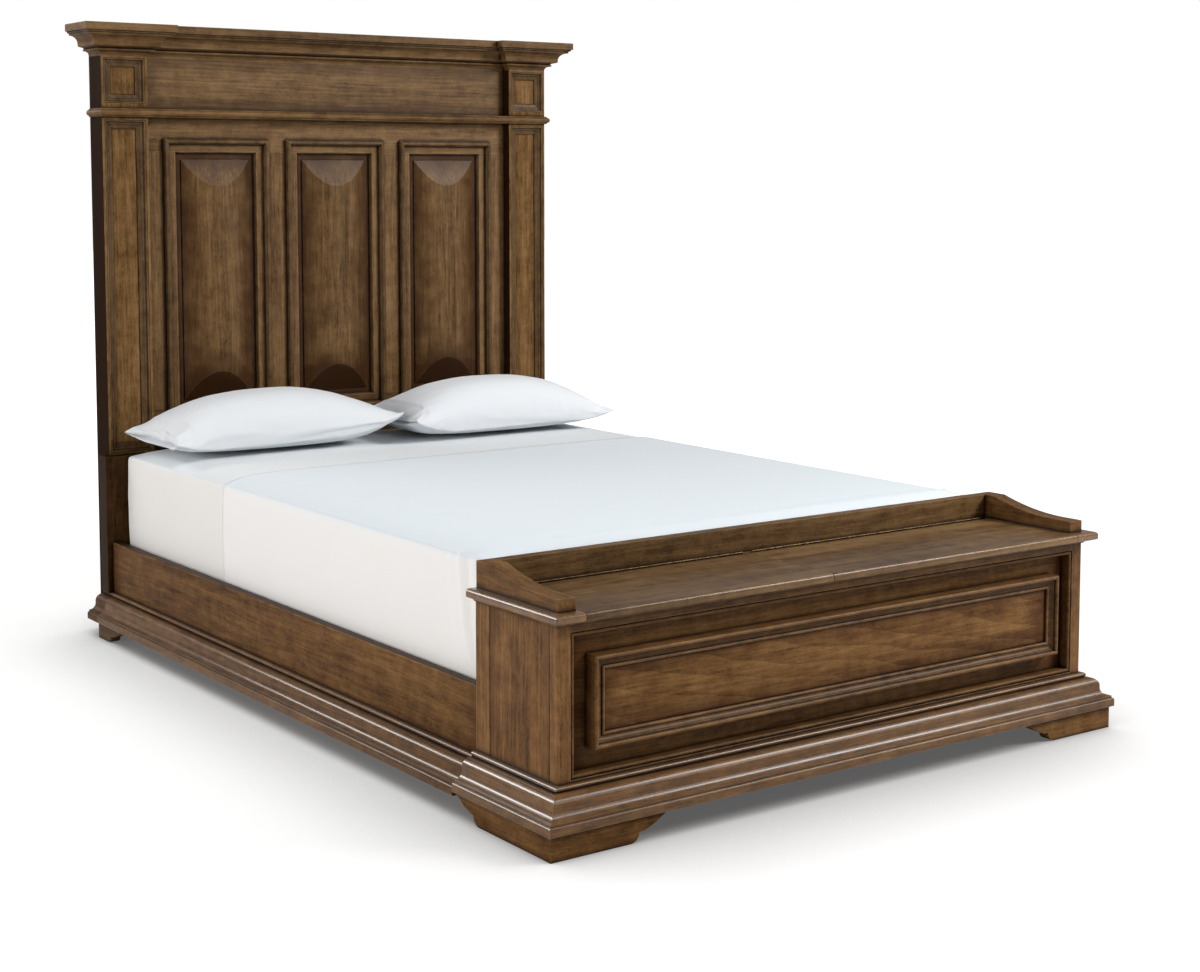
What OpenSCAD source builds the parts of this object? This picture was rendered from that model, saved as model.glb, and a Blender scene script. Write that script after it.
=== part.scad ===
// Storage bed: a panelled headboard, moulded side rails and a bench chest with two lids at the foot.
// X runs across the bed, Y from the foot to the head, Z up from the floor. Sizes are in millimetres.

/* [Mattress and bedding] */
// Width of the mattress
mattress_w = 1524; // [1360:4:1940]
// Length of the mattress
mattress_l = 2032; // [1880:4:2140]
// Thickness of the mattress at its crown
mattress_t = 320; // [240:5:340]
// Free gap between the mattress and each side rail
side_gap = 12; // [8:1:25]
// Free gap between the mattress and the woodwork at each end
end_gap = 19; // [12:1:40]
// Thickness of the top sheet
sheet_t = 3; // [2:0.5:6]
// Length of mattress at the head that the top sheet leaves bare
sheet_turn = 690; // [500:10:900]
// Length of a pillow across the bed
pillow_l = 745; // [560:5:760]
// Depth of a pillow along the bed
pillow_d = 384; // [360:2:460]
// Height of a pillow at its crown
pillow_h = 184; // [120:2:210]

/* [Side rails and slats] */
// Thickness of a side rail
rail_t = 26; // [20:1:34]
// Height of a side rail's top edge above the floor
rail_top = 283; // [270:1:330]
// Height of the slats' top face above the floor
deck_z = 247; // [235:1:262]
// How much lower the rail moulding hangs than the chest's moulding
rail_drop = 8; // [4:1:12]
// Width of a slat
slat_w = 70; // [50:5:100]
// Thickness of a slat
slat_t = 18; // [14:1:22]
// Free gap between two slats
slat_gap = 84; // [40:2:110]
// Width of the ledger that carries the slats
ledger_w = 30; // [22:1:40]
// Height of that ledger
ledger_h = 40; // [30:1:60]
// Width of the centre beam
beam_w = 40; // [30:1:60]
// Height of the centre beam
beam_h = 60; // [45:1:90]
// Diameter of a centre leg
leg_d = 45; // [35:1:60]
// Height of the levelling glide below a centre leg
glide_h = 12; // [8:1:20]
// Length of one wing of a steel rail bracket
bracket_l = 56; // [45:1:70]
// Height of a steel rail bracket
bracket_h = 100; // [80:2:110]
// Thickness of the bracket steel
bracket_t = 3; // [2:0.5:4]

/* [Base moulding and feet] */
// Height of the bracket feet
foot_h = 54; // [50:1:80]
// Length of a foot's flat bottom along the front
foot_l = 205; // [150:5:260]
// Thickness of a foot's bracket
foot_t = 30; // [22:1:40]
// How far a foot's face stands behind the moulding's lip
foot_back = 9; // [4:1:16]
// Length of the scrolled end of a foot
scroll_l = 94; // [70:2:120]
// Radius of the small bead on top of the base moulding
bead_r = 5.5; // [4:0.5:8]
// Radius of the large round of the base moulding
ovolo_r = 20; // [14:1:26]
// Radius of the hollow of the base moulding
cove_r = 19; // [12:1:24]
// Height of the lip at the bottom of the base moulding
lip_h = 22; // [16:1:30]

/* [Bench chest] */
// Depth of the chest from its front to the mattress side
chest_d = 314; // [280:2:420]
// Height of the bench top above the floor
bench_h = 500; // [470:2:540]
// Thickness of the bench top
slab_t = 19.5; // [16:0.5:26]
// Height of the moulded frame under the bench top
top_frame_h = 10; // [8:0.5:16]
// Overhang of the bench top in front
nose_front = 33; // [24:1:40]
// Overhang of the bench top at each side
nose_side = 25; // [22:1:34]
// Thickness of the chest's side panels
side_t = 22; // [18:1:28]
// Thickness of the chest's front board, back and bottom
board_t = 18; // [15:1:22]
// Width of a front corner post's plain face
corner_w = 33; // [26:1:45]
// Depth of the front recess behind the corner posts
recess_d = 27; // [20:1:34]
// Width of the rear stile at each side
stile_w = 55; // [40:1:80]
// Height of the rail above the front recess
apron_h = 16; // [12:1:30]
// Visible height of the rail below the front recess
sill_h = 5; // [3:1:20]
// Width of the bead round the front recess
recess_bead = 10; // [8:0.5:14]
// Margin between that bead and the raised front moulding
front_margin = 46; // [36:1:60]
// Width of the raised front moulding
front_mould_w = 33; // [26:1:40]
// How far the raised front moulding stands out of the recess
front_mould_d = 38; // [34:1:44]
// How far the inset panel stands out of the recess
inset_d = 20; // [10:1:24]
// Width of a fixed end cap of the bench top
cap_w = 75; // [60:1:100]
// Place of the seam between the two lids, from the middle of the bed
lid_seam = -67; // [-150:1:150]
// Free gap round a lid
lid_gap = 1.5; // [1:0.1:3]
// Depth of the fixed strip behind the lids
strip_d = 45; // [36:1:60]

/* [Gallery on the bench] */
// Height of the gallery at the back
gallery_h = 59; // [45:1:90]
// Height of the gallery arms at the front
arm_h = 28; // [18:1:40]
// Thickness of a gallery arm
arm_t = 43; // [30:1:50]
// Thickness of the gallery back
gallery_t = 28; // [18:1:32]
// Flat length at the rear end of an arm's top
arm_flat = 57; // [40:1:90]
// Length of the swept part of an arm's top
arm_sweep = 203; // [120:1:230]

/* [Lid hinges] */
// Outer diameter of a hinge knuckle
knuckle_d = 5; // [4:0.2:8]
// Diameter of the hinge pin
pin_d = 2.4; // [2:0.1:3]
// Radial clearance between pin and knuckle
pin_play = 0.05; // [0.02:0.01:0.09]
// Length of one knuckle
knuckle_l = 24; // [18:1:40]
// Thickness of a hinge leaf
leaf_t = 1.2; // [0.8:0.1:1.5]
// Height of a hinge leaf on the edge of the wood
leaf_h = 15; // [10:0.5:17]

/* [Headboard] */
// Overall height of the headboard
head_h = 1842; // [1600:2:2000]
// Depth of a headboard post
post_d = 95; // [86:1:120]
// Width of a pilaster
pilaster_w = 145; // [120:1:180]
// How far the pilasters stand inside the rails' outer faces
pilaster_in = 3; // [0:0.5:8]
// How far the panel frame stands behind the pilasters
field_set = 34; // [26:1:44]
// Thickness of the panel frame
frame_t = 26; // [22:1:30]
// Height of the frieze between astragal and cornice
frieze_h = 156; // [120:2:200]
// Height of the astragal
astragal_h = 25; // [20:1:32]
// How far the astragal stands out of the pilasters in front
astragal_out = 18; // [12:1:26]
// How far the astragal stands out at the sides
astragal_side = 11.5; // [8:0.5:16]
// Height of the plinth blocks' top above the floor
plinth_top = 543; // [480:1:640]
// How far the plinth blocks stand out of the pilasters
plinth_out = 20; // [12:1:24]
// Height of the cornice
cornice_h = 94; // [90:1:110]
// How far the cornice stands out
cornice_out = 72; // [68:1:84]
// Margin between a pilaster's edge and its moulded panel
face_margin = 7; // [4:0.5:14]
// Width of the moulding inside the pilaster panels
face_mould_w = 26; // [18:1:34]
// Depth of the pilaster panels
face_d = 16; // [10:1:20]

/* [Headboard panels] */
// Width of plain frame beside each applied panel moulding
bar_w = 60; // [40:1:90]
// Plain frame between the astragal and the top of the applied panel mouldings
top_margin = 63; // [40:1:160]
// Height of the applied panel mouldings' bottom above the floor
panel_bottom = 631; // [580:2:800]
// Width of the applied panel moulding
applied_w = 18; // [14:1:24]
// How far the applied panel moulding stands out of the frame
applied_d = 19; // [12:1:24]
// Width of flat frame between the applied moulding and the opening
band_w = 28; // [18:1:40]
// Width of the sloped edge round the opening
sticking_w = 6; // [4:0.5:10]
// Depth of the flat margin behind the frame
margin_d = 14; // [8:0.5:17]
// Width of the flat margin round the raised panel
margin_w = 18; // [12:1:30]
// Height of the step at the raised panel's edge
raise_step = 4; // [2:0.5:8]
// How far the raised panel's crown stands above that step
crown_d = 24; // [14:1:30]
// Length of the sloping cut at the top and bottom of the raised panel
scoop_l = 83; // [50:1:130]

/* [Hidden] */
$fn = 64;
MANY = 8;

base_lip = 5;
base_fillet = 2;
ovolo_rise = 6;
bead_in = 2.5;
ovolo_in = bead_in + 2 * bead_r + 4.5;
base_out = ovolo_in + ovolo_r + cove_r + base_fillet + base_lip;
base_h = lip_h + base_lip + cove_r + ovolo_rise + ovolo_r + 1 + 2 * bead_r;
foot_out = base_out - foot_back;

half_w = mattress_w / 2 + side_gap + rail_t;
inner_w = half_w - rail_t;
rail_l = mattress_l + 2 * end_gap;
bed_l = base_out + chest_d + rail_l + plinth_out + post_d;
chest_y = base_out + chest_d - bed_l / 2;
plinth_y = chest_y + rail_l;
head_y = plinth_y + plinth_out;

slab_z = bench_h - slab_t;
box_top = slab_z - top_frame_h;
rail_foot_h = foot_h - rail_drop;
rail_base_z = rail_foot_h + base_h;
chest_base_z = foot_h + base_h;
bottom_z = chest_base_z - board_t;

opening_w = half_w - corner_w;
recess_w = opening_w - recess_bead;
recess_hi = box_top - apron_h;
recess_lo = chest_base_z + sill_h;
front_w = recess_w - front_margin;
front_hi = recess_hi - recess_bead - front_margin;
front_lo = recess_lo + recess_bead + front_margin;

recess_y = recess_d - chest_d;
store_y = recess_y + board_t;

slab_w = half_w + nose_side;
slab_y = -chest_d - nose_front;
lid_x = slab_w - cap_w;
strip_y = -strip_d;
leaf_gap = 0.3;
edge_gap = leaf_t + leaf_gap;
hinge_z = bench_h + knuckle_d / 2 + 0.2;
bumper_h = 0.5;
lid_lift = bumper_h + 0.3;
arm_out = half_w - 2;

pil_out = half_w - pilaster_in;
pil_in = pil_out - pilaster_w;
cornice_z = head_h - cornice_h;
astragal_z = cornice_z - frieze_h - astragal_h;
frieze_z = astragal_z + astragal_h;
panel_top = astragal_z - top_margin;
panel_w = (2 * pil_in - 4 * bar_w) / 3;
panel_pitch = panel_w + bar_w;
joint_in = applied_w + band_w - sticking_w;
hole_w = panel_w - 2 * joint_in;
hole_lo = panel_bottom + joint_in;
hole_hi = panel_top - joint_in;
raised_w = hole_w - 2 * (sticking_w + margin_w);
raised_lo = hole_lo + sticking_w + margin_w;
raised_hi = hole_hi - sticking_w - margin_w;
frame_lo = deck_z - slat_t;
back_t = 8;
PANELS = [-1, 0, 1];

slat_run = rail_l - 60;
slat_n = floor((slat_run + slat_gap) / (slat_w + slat_gap));
slat_first = (rail_l - slat_n * slat_w - (slat_n - 1) * slat_gap) / 2;
ledger_z = deck_z - slat_t - ledger_h;
beam_z = deck_z - slat_t - beam_h;
bracket_z = ledger_z - bracket_h - 6;

WALNUT = "#6b4526";
DARK_WOOD = "#4c2f1a";
PLY = "#b08d5e";
STEEL = "#8c8c8c";
BRASS = "#9a7b45";
LINEN = "#f2f2f4";

// Points on an arc, from angle a to angle b
function arc(c, r, a, b, n = MANY) =
  [for (i = [0:n]) c + r * [cos(a + (b - a) * i / n), sin(a + (b - a) * i / n)]];

// Section of the base moulding: distance out of the wood, height above the moulding's bottom
base_section = concat(
  [[0, 0]],
  arc([base_out - 3, 3], 3, -90, 0, 3),
  arc([base_out - base_lip, lip_h - base_lip], base_lip, 0, 90, 5),
  [[base_out - base_lip, lip_h + base_lip]],
  arc([base_out - base_lip - base_fillet, lip_h + base_lip + cove_r], cove_r, -90, -180),
  arc([ovolo_in, lip_h + base_lip + cove_r + ovolo_rise], ovolo_r, 0, 90),
  arc([bead_in + bead_r, base_h - bead_r], bead_r, -70, 90, 7),
  [[0, base_h]]
);

// Section of the cornice: distance out of the wood, height above the cornice's bottom
cornice_extra = cornice_out - 72;
cornice_section = concat(
  [[0, 0]],
  arc([13, 2], 13, 180, 90, 5),
  arc([15, 18.5], 3.5, -90, 90, 5),
  [[18, 25], [31 + cornice_extra, 28], [34 + cornice_extra, 30]],
  arc([58 + cornice_extra, 36], 24, 180, 90, 7),
  [[cornice_out - 12, 60], [cornice_out - 12, 65], [cornice_out - 6, 67]],
  [[cornice_out - 6, 71], [cornice_out, 72]],
  [[cornice_out, cornice_h - 2], [cornice_out - 2, cornice_h]]
);

// Section of the astragal: a half round between two fillets
function astragal_section(out) = concat(
  [[out - 8, 0], [out - 8, 3]],
  arc([out - 9, astragal_h / 2], 9, -75, 75, 9),
  [[out - 8, astragal_h - 3], [out - 8, astragal_h]]
);

// Moulding that runs along X, its back on y = 0, facing the foot of the bed
module run_x(section, x0, x1)
  translate([x0, 0, 0])
    rotate([90, 0, 90])
      linear_extrude(x1 - x0) polygon([for (p = section) [-p[0], p[1]]]);

// Moulding that runs along Y, its back on x = 0, facing +X
module run_y(section, y0, y1)
  translate([0, y1, 0])
    rotate([90, 0, 0])
      linear_extrude(y1 - y0) polygon(section);

// Box between two corners
module block(lo, hi) translate(lo) cube(hi - lo);

// The same piece on the left and on the right of the bed
module both_sides() {
  children();
  mirror([1, 0, 0]) children();
}

// One mitred stick of a frame, its outer edge on z = 0, standing out towards the foot of the bed
module stick(length, width, section)
  intersection() {
    translate([-length / 2, 0, 0])
      rotate([90, 0, 90])
        linear_extrude(length) polygon([for (p = section) [-p[1], p[0]]]);
    rotate([90, 0, 0])
      linear_extrude(200, center = true)
        polygon([
          [-length / 2, 0], [length / 2, 0], [length / 2 - width, width], [width - length / 2, width]
        ]);
  }

// Mitred frame round an area w wide and h high, centred on x = 0 and z = 0.
// A small key inside the wood crosses each mitre.
key_d = 2;
module mitred_frame(w, h, width, section) {
  for (side = [0, 1]) {
    mirror([0, 0, side]) translate([0, 0, -h / 2]) stick(w, width, section);
    mirror([side, 0, 0]) translate([-w / 2, 0, 0]) rotate([0, 90, 0]) stick(h, width, section);
  }
  for (x = [-1, 1], z = [-1, 1])
    translate([x * (w / 2 - 0.4 * width), -key_d, z * (h / 2 - 0.4 * width)])
      cube([width / 3, key_d, width / 3], center = true);
}

// Headboard

// Pilaster panel and corner block of one post: centre height and height of each
face_x = (pil_out + pil_in) / 2;
face_w = pilaster_w - 2 * face_margin;
shaft_lo = plinth_top + 9;
shaft_hi = astragal_z - 9;
square_lo = frieze_z + 15;
square_hi = cornice_z - 5;
FACES = [[shaft_lo, shaft_hi], [square_lo, square_hi]];

face_section = concat(
  [[0, 0], [0, face_d - 1]],
  arc([3, face_d - 3], 3, 140, 0, 5),
  [[6.5, face_d - 6]],
  arc([face_mould_w - 7, face_d - 4], 7, 200, 270, 5),
  [[face_mould_w - 6, face_d - 11], [face_mould_w, 3], [face_mould_w, 0]]
);

module head_post()
  color(WALNUT)
    translate([0, head_y, 0])
      difference() {
        block([pil_in, 0, 0], [pil_out, post_d, cornice_z]);
        for (f = FACES) block([face_x - face_w / 2, -1, f[0]], [face_x + face_w / 2, face_d, f[1]]);
      }

module left_post() mirror([1, 0, 0]) head_post();
module right_post() head_post();

module pilaster_mouldings()
  color(DARK_WOOD)
    both_sides()
      for (f = FACES)
        translate([face_x, head_y + face_d, (f[0] + f[1]) / 2])
          mitred_frame(face_w, f[1] - f[0], face_mould_w, face_section);

module plinth()
  color(WALNUT)
    translate([0, head_y, 0])
      difference() {
        union() {
          block([pil_in - plinth_out, -plinth_out, rail_base_z],
            [pil_out + plinth_out, field_set, plinth_top]);
          block([pil_in, -plinth_out, 0], [half_w, field_set, rail_base_z]);
        }
        block([pil_in, 0, -1], [pil_out, field_set + 1, plinth_top + 1]);
      }

module left_plinth() mirror([1, 0, 0]) plinth();
module right_plinth() plinth();

// Breakfront block of the cornice: its moulding turns round three sides of a pilaster
module cornice_block_shape()
  translate([0, head_y, cornice_z])
    intersection() {
      run_x(concat([[-post_d, 0]], cornice_section, [[-post_d, cornice_h]]), 0, half_w + cornice_out);
      translate([face_x, 0, 0])
        rotate([90, 0, 0])
          linear_extrude(2 * post_d + 2 * cornice_out, center = true)
            polygon(concat(
              [for (p = cornice_section) [pilaster_w / 2 + p[0], p[1]]],
              [for (i = [len(cornice_section) - 1:-1:0])
                [-pilaster_w / 2 - cornice_section[i][0], cornice_section[i][1]]]
            ));
    }

module cornice_left_block() color(WALNUT) mirror([1, 0, 0]) cornice_block_shape();
module cornice_right_block() color(WALNUT) cornice_block_shape();

module cornice_centre() {
  rear = field_set - post_d;
  color(WALNUT)
    difference() {
      translate([0, head_y + field_set, cornice_z])
        run_x(concat([[rear, 0]], cornice_section, [[rear, cornice_h]]), -pil_in, pil_in);
      both_sides() cornice_block_shape();
    }
}

module frieze_board()
  color(WALNUT)
    translate([0, head_y, 0])
      block([-pil_in, field_set, frieze_z], [pil_in, field_set + frame_t, cornice_z]);

module astragal()
  color(WALNUT)
    translate([0, head_y, astragal_z])
      difference() {
        intersection() {
          run_x(concat([[-post_d, 0]], astragal_section(astragal_out), [[-post_d, astragal_h]]),
            -half_w - 50, half_w + 50);
          both_sides()
            translate([pil_out, 0, 0])
              run_y(
                concat([[-pil_out - 1, 0]], astragal_section(astragal_side), [[-pil_out - 1, astragal_h]]),
                -100, post_d);
        }
        both_sides() block([pil_in, 0, -1], [pil_out, post_d + 1, astragal_h + 1]);
        block([-pil_in - 1, field_set, -1], [pil_in + 1, post_d + 1, astragal_h + 1]);
      }

module headboard_top_rail()
  color(WALNUT)
    translate([0, head_y, 0])
      block([-pil_in, field_set, hole_hi], [pil_in, field_set + frame_t, frieze_z]);

module headboard_bottom_rail()
  color(WALNUT)
    translate([0, head_y, 0])
      block([-pil_in, field_set, frame_lo - beam_h], [pil_in, field_set + frame_t, hole_lo]);

module headboard_stiles()
  color(WALNUT)
    translate([0, head_y, 0])
      both_sides() {
        block([hole_w / 2, field_set, hole_lo], [panel_pitch - hole_w / 2, field_set + frame_t, hole_hi]);
        block([panel_pitch + hole_w / 2, field_set, hole_lo], [pil_in, field_set + frame_t, hole_hi]);
      }

// Raised panel: a tall barrel whose ends are cut by planes that slope back
crown_r = (pow(raised_w / 2, 2) + pow(crown_d, 2)) / (2 * crown_d);
module raised_panel(place)
  color(WALNUT)
    translate([place * panel_pitch, head_y + field_set + margin_d, 0]) {
      block([-hole_w / 2, 0, hole_lo], [hole_w / 2, frame_t - margin_d, hole_hi]);
      intersection() {
        translate([0, 0, raised_lo])
          linear_extrude(raised_hi - raised_lo) {
            translate([-raised_w / 2, -raise_step]) square([raised_w, raise_step + 1]);
            intersection() {
              translate([0, crown_r - raise_step - crown_d]) circle(crown_r, $fn = 200);
              translate([-raised_w / 2, -raise_step - crown_d - 1]) square([raised_w, crown_d + 2]);
            }
          }
        translate([-raised_w, 0, 0])
          rotate([90, 0, 90])
            linear_extrude(2 * raised_w)
              polygon([
                [1, raised_lo], [-raise_step, raised_lo], [-raise_step - crown_d, raised_lo + scoop_l],
                [-raise_step - crown_d - 1, raised_lo + scoop_l + 1],
                [-raise_step - crown_d - 1, raised_hi - scoop_l - 1],
                [-raise_step - crown_d, raised_hi - scoop_l], [-raise_step, raised_hi], [1, raised_hi]
              ]);
      }
    }

module left_raised_panel() raised_panel(-1);
module centre_raised_panel() raised_panel(0);
module right_raised_panel() raised_panel(1);

applied_section = concat(
  [[0, 0], [0, applied_d - 8], [2, applied_d - 8]],
  arc([applied_w - 9, applied_d - 7], 7, 180, 60, 6),
  [[applied_w - 4, applied_d - 5], [applied_w - 1, applied_d - 10], [applied_w, 0]]
);
sticking_section = [[0, 0], [0, margin_d], [1.5, margin_d], [sticking_w, 3], [sticking_w, 0]];

module panel_mouldings()
  color(DARK_WOOD)
    for (place = PANELS)
      translate([place * panel_pitch, head_y + field_set, (panel_top + panel_bottom) / 2]) {
        mitred_frame(panel_w, panel_top - panel_bottom, applied_w, applied_section);
        translate([0, margin_d, 0]) mitred_frame(hole_w, hole_hi - hole_lo, sticking_w, sticking_section);
      }

module headboard_back()
  color(PLY)
    translate([0, head_y + field_set + frame_t, 0])
      block([-pil_in, 0, frame_lo - beam_h], [pil_in, back_t, cornice_z]);

head_lap = 45;
module head_base_returns()
  color(WALNUT)
    both_sides()
      translate([half_w, head_y, rail_foot_h])
        run_y(base_section, -head_lap, field_set);

// Scrolled end of a bracket foot: a steep hollow, a small step and a long rise, from z = 0 to z = height
function scroll(length, height) = concat(
  arc([0, height * 0.4], height * 0.38, -80, 0, 5),
  [for (i = [0:7]) let (s = i / 7)
    [height * 0.42 + s * (length - height * 0.42), height * (0.4 + 0.6 * pow(s, 1.6))]]
);

// Side of a foot: flat bottom from 0 back to -flat, then the scroll beyond 0
module bracket(flat, height, thick)
  rotate([90, 0, 90])
    linear_extrude(thick)
      polygon(concat([[-flat, 0], [0, 0]], scroll(scroll_l, height), [[-flat, height]]));

head_foot_l = 78;
head_foot_back = 32;
module head_feet()
  color(WALNUT)
    both_sides()
      translate([half_w + foot_out - foot_t, head_y - head_foot_back - head_foot_l, 0])
        mirror([0, 1, 0]) bracket(head_foot_l, rail_foot_h, foot_t);

// Side rails and the deck

rail_edge = 3;
module rail_shape()
  translate([half_w, chest_y + rail_l, 0])
    rotate([90, 0, 0])
      linear_extrude(rail_l)
        polygon(concat(
          [[-rail_t, rail_foot_h], [0, rail_foot_h]],
          arc([-rail_edge, rail_top - rail_edge], rail_edge, 0, 90, 4),
          arc([rail_edge - rail_t, rail_top - rail_edge], rail_edge, 90, 180, 4)
        ));

module left_rail() color(WALNUT) mirror([1, 0, 0]) rail_shape();
module right_rail() color(WALNUT) rail_shape();

module rail_moulding_shape()
  translate([half_w, chest_y, rail_foot_h])
    run_y(base_section, 0, rail_l + plinth_out - head_lap);

module left_rail_moulding() color(WALNUT) mirror([1, 0, 0]) rail_moulding_shape();
module right_rail_moulding() color(WALNUT) rail_moulding_shape();

ledger_end = 20;
module ledgers()
  color(PLY)
    both_sides()
      translate([0, chest_y, ledger_z])
        block([inner_w - ledger_w, ledger_end, 0], [inner_w, rail_l - ledger_end, ledger_h]);

module slats()
  color(PLY)
    translate([0, chest_y + slat_first, deck_z - slat_t])
      for (i = [0:slat_n - 1])
        translate([0, i * (slat_w + slat_gap), 0])
          block([2 - inner_w, 0, 0], [inner_w - 2, slat_w, slat_t]);

beam_l = rail_l + plinth_out + field_set;
module centre_beam()
  color(PLY)
    translate([0, chest_y, beam_z])
      block([-beam_w / 2, 0, 0], [beam_w / 2, beam_l, beam_h]);

LEGS = [1 / 4, 1 / 2, 3 / 4];
module centre_legs()
  color(DARK_WOOD)
    for (share = LEGS)
      translate([0, chest_y + share * beam_l, glide_h])
        cylinder(d = leg_d, h = beam_z - glide_h);

module leg_glides()
  color(STEEL)
    for (share = LEGS)
      translate([0, chest_y + share * beam_l, 0]) {
        cylinder(d = leg_d - 9, h = glide_h / 2);
        cylinder(d = 10, h = glide_h);
      }

// Steel angle between a rail and what it meets, with a screw head on each wing
module rail_bracket() {
  screw_d = 14;
  difference() {
    block([-bracket_l, 0, 0], [0, bracket_l, bracket_h]);
    block([-bracket_l - 1, bracket_t, -1], [-bracket_t, bracket_l + 1, bracket_h + 1]);
  }
  for (z = [bracket_h / 4, bracket_h * 3 / 4]) {
    translate([-bracket_l / 2, bracket_t, z]) rotate([-90, 0, 0]) cylinder(d = screw_d, h = 4);
    translate([-bracket_t, bracket_l / 2 + 6, z]) rotate([0, -90, 0]) cylinder(d = screw_d, h = 4);
  }
}

module rail_brackets()
  color(STEEL)
    both_sides() {
      translate([inner_w, chest_y, bracket_z]) rail_bracket();
      translate([inner_w, plinth_y, bracket_z]) mirror([0, 1, 0]) rail_bracket();
    }

// Bench chest, drawn with its mattress side on y = 0

module at_chest() translate([0, chest_y, 0]) children();

module chest_posts()
  color(WALNUT)
    at_chest()
      both_sides() {
        block([opening_w, -chest_d, foot_h], [half_w, recess_y, box_top]);
        difference() {
          block([half_w - side_t, -stile_w, foot_h], [half_w, 0, box_top]);
          translate([half_w, -stile_w, foot_h - 1]) rotate(45) translate([-1.5, -1.5]) cube([3, 3, box_top]);
        }
      }

module chest_side_panels()
  color(WALNUT)
    at_chest()
      both_sides()
        difference() {
          block([half_w - side_t, recess_y, foot_h], [half_w, -stile_w, box_top]);
          for (y = [recess_y, -stile_w])
            translate([half_w, y, foot_h - 1]) rotate(45) translate([-1.5, -1.5]) cube([3, 3, box_top]);
        }

module chest_front_rails()
  color(WALNUT)
    at_chest() {
      block([-opening_w, -chest_d, recess_hi], [opening_w, recess_y, box_top]);
      block([-opening_w, -chest_d, foot_h], [opening_w, recess_y, recess_lo]);
    }

bead_section = concat(
  [[0, 0], [0, recess_d - 2], [1, recess_d - 2]],
  arc([recess_bead / 2 + 0.5, recess_d - recess_bead / 2 + 0.5], recess_bead / 2 - 0.5, 180, 0, 7),
  [[recess_bead, 0]]
);
module front_bead_frame()
  color(DARK_WOOD)
    at_chest()
      translate([0, recess_y, (recess_hi + recess_lo) / 2])
        mitred_frame(2 * opening_w, recess_hi - recess_lo, recess_bead, bead_section);

module front_board()
  color(WALNUT)
    at_chest()
      block([side_t - half_w, recess_y, foot_h], [half_w - side_t, store_y, box_top]);

front_section = concat(
  [[0, 0], [0, front_mould_d - 5]],
  arc([5, front_mould_d - 5], 5, 180, 0, 8),
  [[10, front_mould_d - 8]],
  arc([front_mould_w - 9, front_mould_d - 4], 11, 200, 270, 5),
  [[front_mould_w - 8, inset_d + 2]],
  arc([front_mould_w - 4, inset_d + 3], 4, 180, 0, 6),
  [[front_mould_w, 0]]
);
module front_moulding()
  color(DARK_WOOD)
    at_chest()
      translate([0, recess_y, (front_hi + front_lo) / 2])
        mitred_frame(2 * front_w, front_hi - front_lo, front_mould_w, front_section);

module inset_panel()
  color(WALNUT)
    at_chest()
      translate([0, recess_y, 0])
        block([front_mould_w - front_w, -inset_d, front_lo + front_mould_w],
          [front_w - front_mould_w, 0, front_hi - front_mould_w]);

module chest_back()
  color(WALNUT)
    at_chest()
      block([side_t - half_w, -board_t, foot_h], [half_w - side_t, 0, box_top]);

module chest_bottom()
  color(PLY)
    at_chest()
      block([side_t - half_w, store_y, bottom_z], [half_w - side_t, -board_t, chest_base_z]);

module chest_divider()
  color(PLY)
    at_chest()
      block([lid_seam - board_t / 2, store_y, chest_base_z], [lid_seam + board_t / 2, -board_t, box_top]);

// Plan of the base moulding, mitred at the two front corners
module base_mitre(front)
  translate([0, 0, foot_h - 1])
    linear_extrude(base_h + 2)
      polygon(front
        ? [[half_w, 0], [half_w + base_out, -base_out], [-half_w - base_out, -base_out], [-half_w, 0]]
        : [[half_w, 0], [half_w + base_out, -base_out], [half_w + base_out, chest_d], [half_w, chest_d]]);

module base_moulding_front()
  color(WALNUT)
    translate([0, chest_y - chest_d, 0])
      intersection() {
        translate([0, 0, foot_h]) run_x(base_section, -half_w - base_out, half_w + base_out);
        base_mitre(true);
      }

module base_moulding_sides()
  color(WALNUT)
    both_sides()
      translate([0, chest_y - chest_d, 0])
        intersection() {
          translate([half_w, 0, foot_h]) run_y(base_section, -base_out, chest_d);
          base_mitre(false);
        }

// Bracket foot at a front corner: two scrolled brackets and the block that carries the chest's corner
foot_block = 70;
foot_side_l = chest_d + foot_out - scroll_l;
module chest_feet()
  color(WALNUT)
    both_sides()
      translate([half_w + foot_out, chest_y - chest_d - foot_out, 0]) {
        rotate(90) translate([0, foot_l, 0]) bracket(foot_l, foot_h, foot_t);
        translate([-foot_t, foot_side_l, 0]) bracket(foot_side_l, foot_h, foot_t);
        block([-foot_t - foot_block, foot_t, 0], [-foot_t, foot_t + foot_block, foot_h]);
      }

// Moulded frame between the chest and the bench top
top_frame_section = concat(
  [[0, 0], [4, 0], [4, 2]],
  arc([12, 2], 6, 180, 90, 5),
  [[15, top_frame_h - 2], [15, top_frame_h]]
);
function top_frame_points(extra) = [for (p = top_frame_section) [p[0] + (p[0] > 12 ? extra : 0), p[1]]];

module bench_top_frame() {
  front = concat([[-chest_d, 0]], top_frame_points(nose_front - nose_side), [[-chest_d, top_frame_h]]);
  side = concat([[-half_w - 1, 0]], top_frame_points(0), [[-half_w - 1, top_frame_h]]);
  color(DARK_WOOD)
    at_chest()
      difference() {
        translate([0, 0, box_top])
          intersection() {
            translate([0, -chest_d, 0]) run_x(front, -slab_w, slab_w);
            both_sides() translate([half_w, 0, 0]) run_y(side, slab_y, 0);
          }
        block([-lid_x, store_y, box_top - 1], [lid_x, strip_y, slab_z + 1]);
      }
}

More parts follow.
